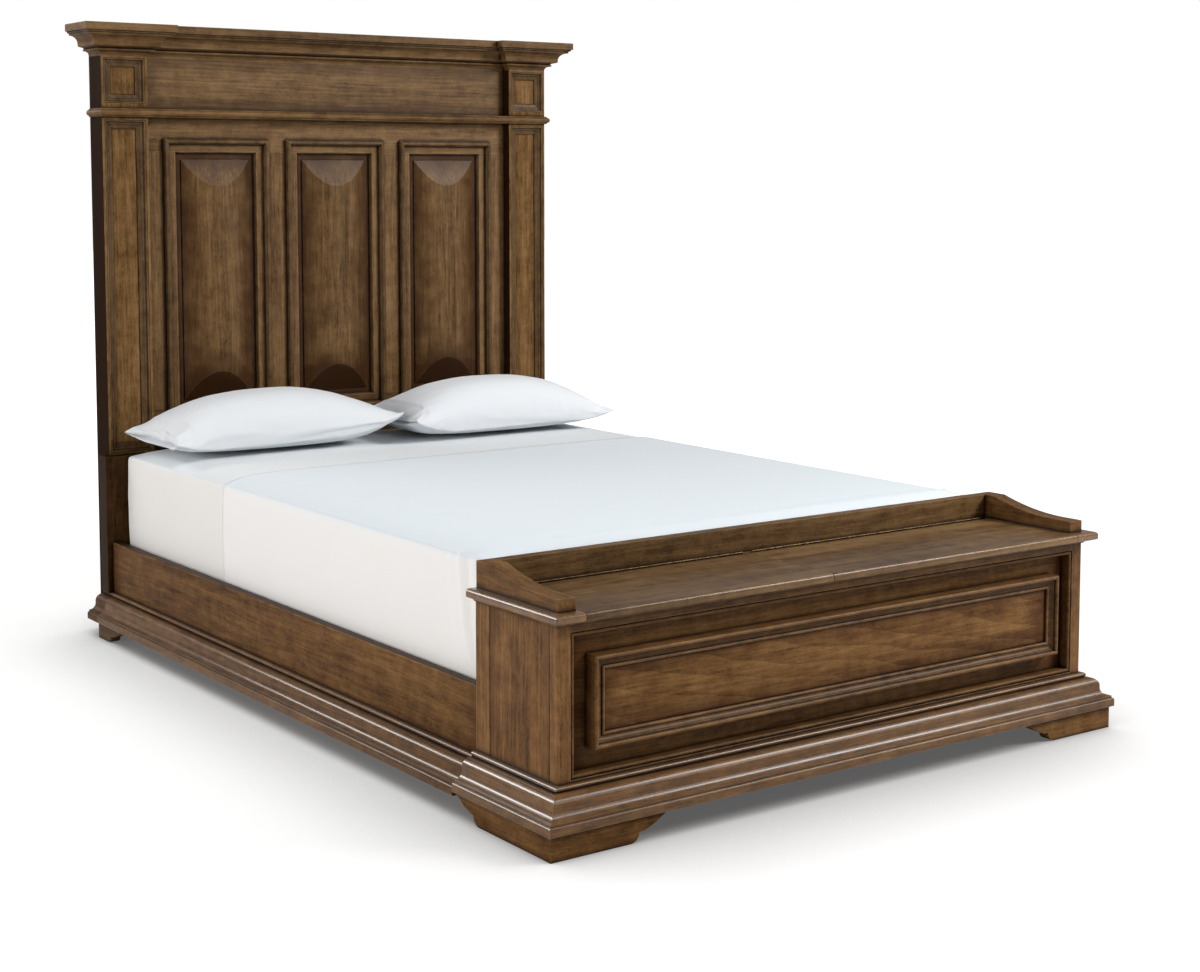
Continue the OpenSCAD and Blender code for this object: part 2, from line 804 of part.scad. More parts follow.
// Bench top with a rounded nose in front and at both sides
nose_r = 7;
nose_low_r = 4;
slab_nose = concat(
  arc([-nose_low_r, nose_low_r], nose_low_r, -90, 0, 3),
  arc([-nose_r, slab_t - nose_r], nose_r, 0, 90, 5)
);
module bench_slab()
  translate([0, 0, slab_z])
    intersection() {
      translate([0, slab_y, 0])
        run_x(concat([[slab_y, 0]], slab_nose, [[slab_y, slab_t]]), -slab_w, slab_w);
      both_sides()
        translate([slab_w, 0, 0])
          run_y(concat([[-slab_w - 1, 0]], slab_nose, [[-slab_w - 1, slab_t]]), slab_y - 1, 0);
    }

module bench_rear_strip()
  color(WALNUT)
    at_chest()
      block([-lid_x, strip_y + edge_gap, slab_z], [lid_x, 0, bench_h]);

module end_caps()
  color(WALNUT)
    at_chest()
      intersection() {
        bench_slab();
        both_sides() block([lid_x, slab_y - 1, 0], [slab_w + 1, 1, bench_h + 1]);
      }

module lid(x0, x1)
  color(WALNUT)
    at_chest()
      intersection() {
        bench_slab();
        block([x0, slab_y - 1, slab_z + lid_lift], [x1, strip_y - edge_gap, bench_h + 1]);
      }

left_lid_x = [lid_gap - lid_x, lid_seam - lid_gap / 2];
right_lid_x = [lid_seam + lid_gap / 2, lid_x - lid_gap];
module left_lid() lid(left_lid_x[0], left_lid_x[1]);
module right_lid() lid(right_lid_x[0], right_lid_x[1]);

// Felt bumpers on the divider and on the end of the frame, under each lid's front corners
bumper_d = 10;
module lid_bumpers()
  color(STEEL)
    at_chest()
      for (x = [left_lid_x[0] + 30, left_lid_x[1] - 30, right_lid_x[0] + 30, right_lid_x[1] - 30])
        translate([x, recess_y + board_t / 2, slab_z]) cylinder(d = bumper_d, h = bumper_h);

// Gallery

module gallery_back()
  color(WALNUT)
    at_chest()
      block([arm_t - arm_out, -gallery_t, bench_h], [arm_out - arm_t, 0, bench_h + gallery_h]);

arm_l = chest_d + 2;
sweep_rise = gallery_h - arm_h;
module gallery_arms()
  color(WALNUT)
    at_chest()
      both_sides()
        translate([arm_out - arm_t, 0, bench_h])
          rotate([90, 0, 90])
            linear_extrude(arm_t)
              polygon(concat(
                [[0, 0], [0, gallery_h]],
                [for (i = [0:10]) let (s = 1 - i / 10)
                  [-arm_flat - (1 - s) * arm_sweep, arm_h + sweep_rise * s * s]],
                [[-arm_l, arm_h], [-arm_l, 0]]
              ));

// Piano hinges: knuckles turn by turn on the fixed leaf and on the lid's leaf

knuckle_gap = 0.5;
hinge_margin = 12;
function knuckles(xs) = floor((xs[1] - xs[0] - 2 * hinge_margin) / knuckle_l / 2) * 2 + 1;
function hinge_x(xs) = (xs[0] + xs[1] - knuckles(xs) * knuckle_l) / 2;

module hinge_leaf(xs, turn) {
  near = turn == 0 ? leaf_gap : -edge_gap;
  count = knuckles(xs);
  barrel = knuckle_l - knuckle_gap;
  at_chest()
    translate([hinge_x(xs), strip_y, 0])
      difference() {
        union() {
          for (i = [turn:2:count - 1])
            translate([i * knuckle_l + knuckle_gap / 2, 0, 0]) {
              translate([0, 0, hinge_z]) rotate([0, 90, 0]) cylinder(d = knuckle_d, h = barrel);
              block([0, near, bench_h - 1], [barrel, near + leaf_t, hinge_z]);
            }
          block([0, near, bench_h - leaf_h], [count * knuckle_l, near + leaf_t, bench_h - 0.4]);
        }
        translate([-1, 0, hinge_z])
          rotate([0, 90, 0]) cylinder(d = pin_d + 2 * pin_play, h = count * knuckle_l + 2);
      }
}

module hinge_fixed_leaves() color(BRASS) for (xs = [left_lid_x, right_lid_x]) hinge_leaf(xs, 0);
module left_hinge_leaf() color(BRASS) hinge_leaf(left_lid_x, 1);
module right_hinge_leaf() color(BRASS) hinge_leaf(right_lid_x, 1);

module hinge_pins()
  color(STEEL)
    at_chest()
      for (xs = [left_lid_x, right_lid_x])
        translate([hinge_x(xs), strip_y, hinge_z])
          rotate([0, 90, 0]) cylinder(d = pin_d, h = knuckles(xs) * knuckle_l);

// Bedding, drawn with the mattress's foot end on y = 0

mattress_y = chest_y + end_gap;
soft_gap = 0.4;
side_bulge = 5;
top_crown = 20;
crown_power = 16;
top_r = 14;
end_r = 14;
SIDE_STEPS = 3;
CORNER_STEPS = 4;
TOP_STEPS = 12;

// Upper outline of the bedding at one place along the bed, from left to right.
// inset draws it in near an end, off lifts it off the mattress, low is the height where it starts.
function bed_x(z, inset, off) =
  mattress_w / 2 - inset + off - side_bulge * pow((2 * (z - deck_z) - mattress_t) / mattress_t, 2);
function bed_outline(inset, off, low) =
  let (r = top_r + off, zc = deck_z + mattress_t - top_crown - inset / 2 + off - r)
  let (x_flat = bed_x(zc, inset, off) - r)
  let (side = [for (i = [0:SIDE_STEPS - 1]) let (z = low + (zc - low) * i / SIDE_STEPS)
    [-bed_x(z, inset, off), z]])
  let (turn = [for (i = [0:CORNER_STEPS - 1]) let (a = 180 - 90 * i / CORNER_STEPS)
    [r * cos(a) - x_flat, zc + r * sin(a)]])
  let (half = concat(side, turn))
  concat(
    half,
    [for (i = [0:TOP_STEPS]) let (s = 2 * i / TOP_STEPS - 1)
      [bend(s) * x_flat, zc + r + top_crown * (1 - pow(abs(bend(s)), crown_power))]],
    [for (i = [len(half) - 1:-1:0]) [-half[i][0], half[i][1]]]
  );

// Rings of points joined into a closed solid
function ring_faces(n, m) =
  [for (j = [0:m - 2]) for (i = [0:n - 1]) let (k = (i + 1) % n)
    for (f = [[j * n + i, j * n + k, (j + 1) * n + k], [j * n + i, (j + 1) * n + k, (j + 1) * n + i]]) f];
function cap_fan(n, base, centre, flip) =
  [for (i = [0:n - 1]) let (k = (i + 1) % n)
    flip ? [base + k, base + i, centre] : [base + i, base + k, centre]];

// Stations along the mattress: distance from its foot end and how far the outline is drawn in there
function end_stations(length) = concat(
  [for (i = [0:3]) let (a = 90 * i / 4) [end_r * (1 - cos(a)), end_r * 0.5 * (1 - sin(a))]],
  [for (i = [0:5]) [end_r + (length - 2 * end_r) * i / 5, 0]],
  [for (i = [3:-1:0]) let (a = 90 * i / 4) [length - end_r * (1 - cos(a)), end_r * 0.5 * (1 - sin(a))]]
);

module mattress() {
  stations = end_stations(mattress_l);
  rings = [for (s = stations) let (o = bed_outline(s[1], 0, deck_z + 12))
    concat(o, [[mattress_w / 2 - s[1] - 16, deck_z], [s[1] + 16 - mattress_w / 2, deck_z]])];
  n = len(rings[0]);
  m = len(stations);
  mid = deck_z + mattress_t / 2;
  points = concat(
    [for (j = [0:m - 1]) for (p = rings[j]) [p[0], stations[j][0], p[1]]],
    [[0, 0, mid], [0, mattress_l, mid]]
  );
  color(LINEN)
    translate([0, mattress_y, 0])
      polyhedron(points, concat(
        ring_faces(n, m), cap_fan(n, 0, n * m, true), cap_fan(n, (m - 1) * n, n * m + 1, false)
      ));
}

// Top sheet: lies over the mattress from its foot end to the turn and hangs down inside the rails
sheet_low = rail_top - 24;
module top_sheet() {
  length = mattress_l - sheet_turn;
  ends = end_stations(mattress_l);
  stations = concat([for (i = [2:3]) ends[i]], [for (i = [0:4]) [end_r + (length - end_r) * i / 4, 0]]);
  rings = [for (s = stations) concat(
    bed_outline(s[1], soft_gap + sheet_t, sheet_low),
    reversed(bed_outline(s[1], soft_gap, sheet_low))
  )];
  n = len(rings[0]);
  m = len(stations);
  points = [for (j = [0:m - 1]) for (p = rings[j]) [p[0], stations[j][0], p[1]]];
  color(LINEN)
    translate([0, mattress_y, 0])
      polyhedron(points, concat(
        ring_faces(n, m), strip_cap(n, 0, true), strip_cap(n, (m - 1) * n, false)
      ));
}

function reversed(list) = [for (i = [len(list) - 1:-1:0]) list[i]];
// End of a thin open outline: quads between its outer and its inner line
function strip_cap(n, base, flip) =
  [for (i = [0:n / 2 - 2]) let (a = base + i, b = base + i + 1, c = base + n - 2 - i, d = base + n - 1 - i)
    for (f = flip ? [[b, a, d], [b, d, c]] : [[a, b, c], [a, c, d]]) f];

// Pillow: two puffed faces on a pointed outline, lying on the mattress
PILLOW_N = 16;
PILLOW_M = 12;
pillow_pinch = 0.07;
function puff(u, v) = pow((1 - pow(abs(u), 2.6)) * (1 - pow(abs(v), 2.6)), 0.5);
function pillow_point(u, v, up, lifts) =
  let (seam = 20 + (u < 0 ? lifts[0] : lifts[1]) * pow(u, 4) + 17 * v * v)
  [
    pillow_l / 2 * u * (1 - pillow_pinch * (1 - v * v)),
    pillow_d / 2 * v * (1 - pillow_pinch * (1 - u * u)),
    up ? seam + (pillow_h - seam) * puff(u, v) : seam * (1 - puff(u, v))
  ];
function bend(t) = sin(90 * t);

// lifts raises the seam at the pillow's left and right end
module pillow(x, from_head, lifts) {
  us = [for (i = [0:PILLOW_N]) bend(-1 + 2 * i / PILLOW_N)];
  vs = [for (j = [0:PILLOW_M]) bend(-1 + 2 * j / PILLOW_M)];
  row = PILLOW_N + 1;
  top = [for (v = vs) for (u = us) pillow_point(u, v, true, lifts)];
  under = [for (v = vs) for (u = us) pillow_point(u, v, false, lifts)];
  half = len(top);
  function rim(i, j) = i == 0 || j == 0 || i == PILLOW_N || j == PILLOW_M;
  function low(i, j) = rim(i, j) ? j * row + i : half + j * row + i;
  faces = [for (j = [0:PILLOW_M - 1]) for (i = [0:PILLOW_N - 1])
    let (a = j * row + i, b = a + 1, c = a + row + 1, d = a + row)
    let (e = low(i, j), f = low(i + 1, j), g = low(i + 1, j + 1), h = low(i, j + 1))
    let (to_corner = (i < PILLOW_N / 2) == (j < PILLOW_M / 2))
    for (t = to_corner
      ? [[a, d, c], [a, c, b], [e, f, g], [e, g, h]]
      : [[a, d, b], [b, d, c], [e, f, h], [f, g, h]]) t];
  color(LINEN)
    translate([x, head_y - from_head - pillow_d / 2, pillow_z])
      polyhedron(concat(top, under), faces);
}

// Place of each pillow: its inner end from the middle of the bed, its back from the posts' faces
left_pillow_in = 17;
left_pillow_back = 48;
right_pillow_in = 4;
right_pillow_back = 104;
pillow_z = deck_z + mattress_t + soft_gap;
module left_pillow() pillow(-pillow_l / 2 - left_pillow_in, left_pillow_back, [12, 62]);
module right_pillow() pillow(pillow_l / 2 - right_pillow_in, right_pillow_back, [34, 12]);

left_post();
right_post();
pilaster_mouldings();
left_plinth();
right_plinth();
cornice_left_block();
cornice_centre();
cornice_right_block();
frieze_board();
astragal();
headboard_top_rail();
headboard_bottom_rail();
headboard_stiles();
left_raised_panel();
centre_raised_panel();
right_raised_panel();
panel_mouldings();
headboard_back();
head_base_returns();
head_feet();
left_rail();
right_rail();
left_rail_moulding();
right_rail_moulding();
ledgers();
slats();
centre_beam();
centre_legs();
leg_glides();
rail_brackets();
chest_posts();
chest_side_panels();
chest_front_rails();
front_bead_frame();
front_board();
front_moulding();
inset_panel();
chest_back();
chest_bottom();
chest_divider();
base_moulding_front();
base_moulding_sides();
chest_feet();
bench_top_frame();
bench_rear_strip();
end_caps();
gallery_back();
gallery_arms();
lid_bumpers();
left_lid();
right_lid();
hinge_fixed_leaves();
hinge_pins();
left_hinge_leaf();
right_hinge_leaf();
mattress();
top_sheet();
left_pillow();
right_pillow();
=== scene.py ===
import math
import zlib

import bmesh
import bpy
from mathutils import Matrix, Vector, noise


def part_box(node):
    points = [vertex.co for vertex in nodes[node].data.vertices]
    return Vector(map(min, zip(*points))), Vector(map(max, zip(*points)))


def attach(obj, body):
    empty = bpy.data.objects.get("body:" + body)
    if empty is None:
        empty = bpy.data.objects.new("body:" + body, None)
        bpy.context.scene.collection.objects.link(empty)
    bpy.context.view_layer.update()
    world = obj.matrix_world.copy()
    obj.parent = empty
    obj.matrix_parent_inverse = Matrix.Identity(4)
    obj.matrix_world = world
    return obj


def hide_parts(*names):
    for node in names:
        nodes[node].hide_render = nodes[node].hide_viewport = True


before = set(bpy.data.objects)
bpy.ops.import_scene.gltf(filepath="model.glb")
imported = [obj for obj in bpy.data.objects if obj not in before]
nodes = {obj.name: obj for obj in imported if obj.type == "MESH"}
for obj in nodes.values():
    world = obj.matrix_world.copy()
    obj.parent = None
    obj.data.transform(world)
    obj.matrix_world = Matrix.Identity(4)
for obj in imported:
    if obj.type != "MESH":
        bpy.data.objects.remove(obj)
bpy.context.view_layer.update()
scene = bpy.context.scene
scene.view_settings.view_transform = "Standard"

X, Y, Z = range(3)
FLAT = (X, Y)


# Places and sizes from the model, in metres

def corners(node):
    """Lowest and highest corner of a CAD node, to the thousandth of a millimetre."""
    return tuple(tuple(round(c, 6) for c in corner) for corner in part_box(node))


def reach_along(node, *axes):
    """A CAD node's reach along some axes, as {axis: (low, high)}."""
    low, high = corners(node)
    return {a: (low[a], high[a]) for a in axes}


def middle_and_size(node):
    """The middle of a CAD node's box, and the box's length, depth and height."""
    low, high = corners(node)
    middle = tuple(round((a + b) / 2, 6) for a, b in zip(low, high))
    size = tuple(round(b - a, 6) for a, b in zip(low, high))
    return middle, size


# Half the mattress's width where its sides aren't drawn in
MATTRESS_HALF = 0.762
(_, MATTRESS_Y0, DECK_Z), (_, MATTRESS_Y1, TOP_Z) = corners("mattress")
SHEET_Y1 = corners("top_sheet")[1][Y]
RAIL_TOP = corners("left_rail")[1][Z]


# Camera, fitted to the photograph

CAMERA_PLACE = (-3.0485, -4.4986, 1.3958)
CAMERA_YAW = math.radians(35.683)
CAMERA_PITCH = math.radians(5.042)
LENS, SENSOR_WIDTH = 59.204, 36
SHIFT_DOWN = -0.115


def turned_to(direction):
    """The turn that points a camera or a lamp along a direction, with its top up."""
    return direction.to_track_quat("-Z", "Y")


def add_camera():
    data = bpy.data.cameras.new("photo_camera")
    data.sensor_width = SENSOR_WIDTH
    data.lens = LENS
    data.shift_y = SHIFT_DOWN
    data.clip_start, data.clip_end = 0.1, 100
    cam = bpy.data.objects.new("photo_camera", data)
    scene.collection.objects.link(cam)
    level = math.cos(CAMERA_PITCH)
    forward = Vector((math.sin(CAMERA_YAW) * level, math.cos(CAMERA_YAW) * level, -math.sin(CAMERA_PITCH)))
    cam.location = CAMERA_PLACE
    cam.rotation_mode = "QUATERNION"
    cam.rotation_quaternion = turned_to(forward)
    scene.camera = cam


add_camera()


# Materials

class Nodes:
    """A material's or the world's node tree, with short calls to add and join nodes."""

    def __init__(self, owner, output):
        self.owner = owner
        owner.use_nodes = True
        self.tree = owner.node_tree
        self.tree.nodes.clear()
        self.out = self.add(output)

    def plug(self, socket, value):
        if isinstance(value, bpy.types.NodeSocket):
            self.tree.links.new(value, socket)
        else:
            socket.default_value = value

    def add(self, kind, inputs=(), **props):
        node = self.tree.nodes.new(kind)
        for key, value in props.items():
            setattr(node, key, value)
        for key, value in dict(inputs).items():
            self.plug(node.inputs[key], value)
        return node

    def surface(self, shader):
        """Join the shader to the output and return the finished material or world."""
        self.plug(self.out.inputs[0], shader)
        return self.owner

    def math(self, operation, a, b=0.0, clamp=False):
        return self.add("ShaderNodeMath", {0: a, 1: b}, operation=operation, use_clamp=clamp).outputs[0]

    def sum(self, *terms):
        """Sum of value times weight."""
        total = None
        for value, weight in terms:
            part = self.math("MULTIPLY", value, weight)
            total = part if total is None else self.math("ADD", total, part)
        return total

    def swing(self, value, amount):
        """A noise of 0 to 1 as a change of up to half the amount either way."""
        return self.math("MULTIPLY", self.math("SUBTRACT", value, 0.5), amount)

    def span(self, value, lo, hi, to_lo=0.0, to_hi=1.0):
        """The value's way from lo to hi, as a number from to_lo to to_hi."""
        ends = {0: value, 1: lo, 2: hi, 3: to_lo, 4: to_hi}
        return self.add("ShaderNodeMapRange", ends, clamp=True).outputs[0]

    def vector(self, operation, a, b):
        return self.add("ShaderNodeVectorMath", {0: a, 1: b}, operation=operation).outputs[0]

    def axes(self, vector):
        return self.add("ShaderNodeSeparateXYZ", {0: vector}).outputs

    def mix(self, factor, a, b):
        return self.add("ShaderNodeMix", {0: factor, 6: a, 7: b}, data_type="RGBA").outputs[2]

    def place(self):
        return self.add("ShaderNodeTexCoord").outputs["Object"]

    def facing(self):
        """The surface's direction along the object's own axes."""
        return self.axes(self.add("ShaderNodeTexCoord").outputs["Normal"])

    def mapped(self, place, scale, shift):
        return self.add("ShaderNodeMapping", {"Vector": place, "Scale": scale, "Location": shift}).outputs[0]

    def noise(self, place, scale, detail=2.0, rough=0.5, shift=(0, 0, 0)):
        """Noise of 0 to 1; scale is one number, or one for each axis."""
        scale = scale if isinstance(scale, tuple) else (scale,) * 3
        return self.add("ShaderNodeTexNoise", {
            "Vector": self.mapped(place, scale, shift), "Scale": 1.0, "Detail": detail,
            "Roughness": rough}).outputs[0]

    def open_sky(self, reach, samples=6):
        """1 in the open, less in recesses up to about reach wide."""
        return self.add("ShaderNodeAmbientOcclusion", {"Distance": reach}, samples=samples).outputs["AO"]

    def bump(self, height, strength, distance, normal=None):
        inputs = {"Strength": strength, "Distance": distance, "Height": height}
        if normal is not None:
            inputs["Normal"] = normal
        return self.add("ShaderNodeBump", inputs).outputs[0]

    def principled(self, colour, roughness, normal, **more):
        """Finish with the Principled shader; more holds its other sockets, _ standing for a space."""
        inputs = {"Base Color": colour, "Roughness": roughness, "Normal": normal}
        inputs.update({name.replace("_", " "): value for name, value in more.items()})
        return self.surface(self.add("ShaderNodeBsdfPrincipled", inputs).outputs[0])

    def seen_directly(self):
        """1 where the camera sees something itself or through glass, 0 for other light."""
        path = self.add("ShaderNodeLightPath")
        return self.math("MAXIMUM", path.outputs["Is Camera Ray"], path.outputs["Is Transmission Ray"])


def material_nodes(name):
    return Nodes(bpy.data.materials.new(name), "ShaderNodeOutputMaterial")


def rgba(colour, times=1.0):
    return (*(c * times for c in colour), 1.0)


# Wood

# Dark, base and light tone of each wood, and the values of its figure at which each is reached
BROWN = ((0.052, 0.025, 0.008), (0.136, 0.073, 0.027), (0.225, 0.132, 0.056))
RICH = ((0.054, 0.022, 0.006), (0.140, 0.066, 0.021), (0.232, 0.122, 0.043))
PALE = ((0.36, 0.24, 0.13), (0.50, 0.36, 0.21), (0.60, 0.46, 0.29))
DARK_AT, BASE_AT, LIGHT_AT = 0.40, 0.50, 0.60

# Colours laid on the wood: glazing with painted shade in recesses, painted shade in crevices, joint lines,
# specks, and painted shade on faces by the way they look
GLAZE_AND_SHADE = (0.009, 0.004, 0.002)
CREVICE_SHADE = (0.004, 0.002, 0.001)
JOINT = (0.006, 0.003, 0.002)
SPECK = (0.012, 0.007, 0.004)
FACING_SHADE = (0.014, 0.006, 0.003)
# A board's darker border, a rubbed finish and on the front field a painted shadow, is the dark tone times
# this tint; an arris, pale from wear and a painted highlight, is the light tone times its lift
BORDER_AND_SHADOW_TINT = (0.80, 0.62, 0.50)
ARRIS_HIGHLIGHT_LIFT = 2.1
ARRIS_RADIUS = 0.0026
CREVICE_SHADE_REACH = 0.005
GRAIN_DEPTH = 0.0005
COAT_ROUGHNESS = 0.15


def along(grain, lengthwise, across):
    """Noise scale of a figure drawn out along the grain's axis, or level on all sides for FLAT."""
    level = FLAT if grain == FLAT else (grain,)
    return tuple(lengthwise if a in level else across for a in range(3))


def wavering(t, own, grain, shift):
    """The surface's own place, moved a little so that the grain doesn't run dead straight."""
    mapped = t.mapped(own, along(grain, 1.4, 5.0), shift)
    warp = t.add("ShaderNodeTexNoise", {"Vector": mapped, "Scale": 1.0, "Detail": 1.0}).outputs["Color"]
    bend = 0.03
    bent = t.vector("MULTIPLY", t.vector("SUBTRACT", warp, (0.5, 0.5, 0.5)), (bend, bend, bend))
    return t.vector("ADD", own, bent)


def cathedral_rings(t, place, grain, seed):
    """Growth rings cut lengthwise, their centre moved by the seed."""
    centre = tuple(0.4 * math.sin(seed + a) if a == grain else 0.05 * math.cos(seed + a) for a in range(3))
    return t.add("ShaderNodeTexWave", {
        "Vector": t.mapped(place, along(grain, 0.14, 1.0), centre),
        "Scale": 34.0, "Distortion": 2.6, "Detail": 2.0, "Detail Scale": 0.7},
        wave_type="RINGS", rings_direction="SPHERICAL", wave_profile="SAW").outputs["Fac"]


def inset(t, place, box):
    """Distance to a board's nearest edge; box holds the board's reach along some axes."""
    edge = None
    xyz = t.axes(place)
    for axis, (lo, hi) in box.items():
        near = t.math("MINIMUM", t.math("SUBTRACT", xyz[axis], lo), t.math("SUBTRACT", hi, xyz[axis]))
        edge = near if edge is None else t.math("MINIMUM", edge, near)
    return edge


def rubbed_and_shaded_border(t, colour, own, shift, dark, box, depth, edge, rim):
    """Darker towards a board's edges, with a cloudy limit, and its joint line: a rubbed finish, and on the
    front field a painted shadow of its moulding.
    """
    inside = inset(t, own, box)
    cloud = t.noise(own, 14, shift=shift)
    cloudy = t.math("ADD", inside, t.swing(cloud, depth * 1.2))
    border = t.math("MULTIPLY", t.span(cloudy, 0.0, depth, 1.0, 0.0), edge)
    colour = t.mix(border, colour, rgba([d * tint for d, tint in zip(dark, BORDER_AND_SHADOW_TINT)]))
    return t.mix(t.span(inside, 0.0028, 0.0048, rim, 0.0), colour, rgba(JOINT))


def specked(t, colour, place, specks):
    """Small dark dents, in about a quarter of the cells of a net."""
    cells = t.add("ShaderNodeTexVoronoi", {"Vector": place, "Scale": 15.0}, feature="F1")
    draw = t.add("ShaderNodeSeparateColor", {0: cells.outputs["Color"]}).outputs[0]
    chosen = t.math("GREATER_THAN", draw, 0.74)
    speck = t.math("MULTIPLY", t.span(cells.outputs["Distance"], 0.026, 0.045, 1.0, 0.0), chosen)
    return t.mix(t.math("MULTIPLY", speck, specks), colour, rgba(SPECK))


def worn_and_highlit_arrises(t, colour, eased, mottle, light, wear_and_highlight):
    """Paler at arrises, here more and there less: wear, and a painted highlight where an edge would catch
    the light.
    """
    flat = t.add("ShaderNodeNewGeometry").outputs["Normal"]
    turn = t.add("ShaderNodeVectorMath", {0: eased, 1: flat}, operation="DOT_PRODUCT").outputs["Value"]
    patchy = t.span(mottle, 0.40, 0.60, 0.15, wear_and_highlight)
    arris = t.math("MULTIPLY", t.span(turn, 0.90, 0.995, 1.0, 0.0), patchy)
    return t.mix(arris, colour, rgba(light, ARRIS_HIGHLIGHT_LIFT))


def glaze_and_recess_shade(t, colour, mottle, glaze_and_shade, reach):
    """Darker in recesses that ambient occlusion finds: glazing and painted shade, with near black painted
    shade in the closest corners.
    """
    sky = t.math("ADD", t.open_sky(reach), t.swing(mottle, 0.16))
    colour = t.mix(t.span(sky, 0.46, 0.94, 1.0 - glaze_and_shade, 1.0), rgba(GLAZE_AND_SHADE), colour)
    close_sky = t.open_sky(CREVICE_SHADE_REACH)
    return t.mix(t.span(close_sky, 0.50, 0.88, 1.0 - glaze_and_shade, 1.0), rgba(CREVICE_SHADE), colour)


def shaded_by_facing(t, colour, side_shade, under, over):
    """Painted shade: faces that look sideways, down and up darkened by dusk, under and over."""
    facing = t.facing()
    sideways = t.span(t.math("ABSOLUTE", facing[X]), 0.6, 0.95, 0.0, side_shade)
    down = t.span(facing[Z], -0.20, -0.04, under, 0.0)
    up = t.span(facing[Z], 0.6, 0.95, 0.0, over)
    for share in (sideways, down, up):
        colour = t.mix(share, colour, rgba(FACING_SHADE))
    return colour


def wood(name, grain, tones, rough=0.42, glaze_and_shade=0.88, specks=0.7, figure=0.0, reach=0.013, box=None,
         depth=0.05, edge=0.62, side_shade=0.0, under=0.0, over=0.0, shade=1.0, pore=0.62, gloss=0.14,
         coat=0.0, grit=0.25, wear_and_highlight=0.60, rim=0.0, soften=True):
    """Stained wood: broad tone, streaks and ticks of grain, glazing with painted shade in recesses, specks,
    and arrises pale from wear and a painted highlight.

    grain is the axis that it runs along, or FLAT, and shade makes all its tones lighter or darker.
    rough, gloss and coat are its roughness, specular level and varnish, and grit the depth of its grain.
    pore, figure, specks and worn are the strengths of the pores, the cathedral rings, the specks and
    the pale arrises, from wear and a painted highlight. glaze is the strength of the glazing and the
    painted shade in recesses up to about reach wide.
    box holds the board's reach along some axes. There edge is the strength of a dark border as wide
    as depth, on the front field a painted shadow, and rim the strength of the joint line round it.
    dusk, under and over are the strengths of painted shade on the faces that look sideways, down and up.
    soften lets light play on the arrises as if they were rounded.
    """
    dark, base, light = (tuple(c * shade for c in tone) for tone in tones)
    t = material_nodes(name)
    seed = zlib.crc32(name.encode()) % 997 / 10.0
    shift = (seed, seed * 1.7 % 50, seed * 2.3 % 50)
    own = t.place()
    place = wavering(t, own, grain, shift)

    broad = t.noise(place, along(grain, 0.9, 9.0), shift=shift)
    streak = t.noise(place, along(grain, 2.2, 62.0), detail=3.0, rough=0.6, shift=shift)
    fine = t.noise(place, along(grain, 9.0, 150.0), rough=0.6, shift=shift)
    tick = t.noise(place, along(grain, 80.0, 370.0), rough=0.65, shift=shift)
    mottle = t.noise(place, 24, detail=3.0, rough=0.6, shift=shift)
    ticks = 0.40 * pore
    tone = t.sum((broad, 0.45 - ticks), (streak, 0.17), (fine, 0.20), (tick, ticks), (mottle, 0.18))
    if figure:
        tone = t.math("ADD", tone, t.swing(cathedral_rings(t, place, grain, seed), 0.05 * figure))
    colour = t.mix(t.span(tone, DARK_AT, BASE_AT), rgba(dark), rgba(base))
    colour = t.mix(t.span(tone, BASE_AT, LIGHT_AT), colour, rgba(light))
    pores = t.span(tick, 0.57, 0.70, 0.0, pore)
    colour = t.mix(pores, colour, rgba(dark, 0.45))

    if box:
        colour = rubbed_and_shaded_border(t, colour, own, shift, dark, box, depth, edge, rim)
    colour = specked(t, colour, place, specks)
    eased = t.add("ShaderNodeBevel", {"Radius": ARRIS_RADIUS}, samples=4).outputs[0]
    # paler arrises: wear and a painted highlight
    colour = worn_and_highlit_arrises(t, colour, eased, mottle, light, wear_and_highlight)
    # glazing and painted shade in recesses, found by ambient occlusion
    if glaze_and_shade:
        colour = glaze_and_recess_shade(t, colour, mottle, glaze_and_shade, reach)
    # painted shade on faces by the way they look sideways, down and up
    if side_shade or under or over:
        colour = shaded_by_facing(t, colour, side_shade, under, over)

    roughness = t.math("ADD", rough - 0.11, t.sum((streak, 0.12), (mottle, 0.10)), clamp=True)
    relief = t.math("SUBTRACT", t.math("MULTIPLY", fine, 0.5), pores)
    bump = t.bump(relief, grit, GRAIN_DEPTH, eased if soften else None)
    return t.principled(
        colour, roughness, bump,
        Specular_IOR_Level=gloss, Coat_Weight=coat, Coat_Roughness=COAT_ROUGHNESS)


# Metal, felt and cotton

def metal(name, colour, rough, wear):
    """Plated or antiqued metal with a cloudy tarnish."""
    t = material_nodes(name)
    place = t.place()
    cloud = t.noise(place, 90, detail=4.0, rough=0.6)
    fine = t.noise(place, 900)
    tint = t.mix(t.span(cloud, 0.35, 0.65), rgba(colour), rgba(colour, wear))
    roughness = t.math("ADD", t.math("MULTIPLY", cloud, 0.25), rough - 0.1)
    return t.principled(tint, roughness, t.bump(fine, 0.1, 0.0002), Metallic=1.0)


def felt(name, colour):
    """Short matted fibres, lighter at their tips."""
    t = material_nodes(name)
    fuzz = t.noise(t.place(), 1500, detail=3.0, rough=0.7)
    tint = t.mix(t.span(fuzz, 0.3, 0.7), rgba(colour), rgba(colour, 1.8))
    return t.principled(tint, 0.95, t.bump(fuzz, 0.4, 0.0003))


def woven(t, place):
    """Threads that cross along X and along Y."""
    weave = None
    for axis in ("X", "Y"):
        thread = t.add(
            "ShaderNodeTexWave", {"Vector": place, "Scale": 180.0, "Distortion": 0.6, "Detail": 1.0},
            wave_type="BANDS", bands_direction=axis, wave_profile="SIN").outputs["Fac"]
        weave = thread if weave is None else t.math("ADD", weave, thread)
    return weave


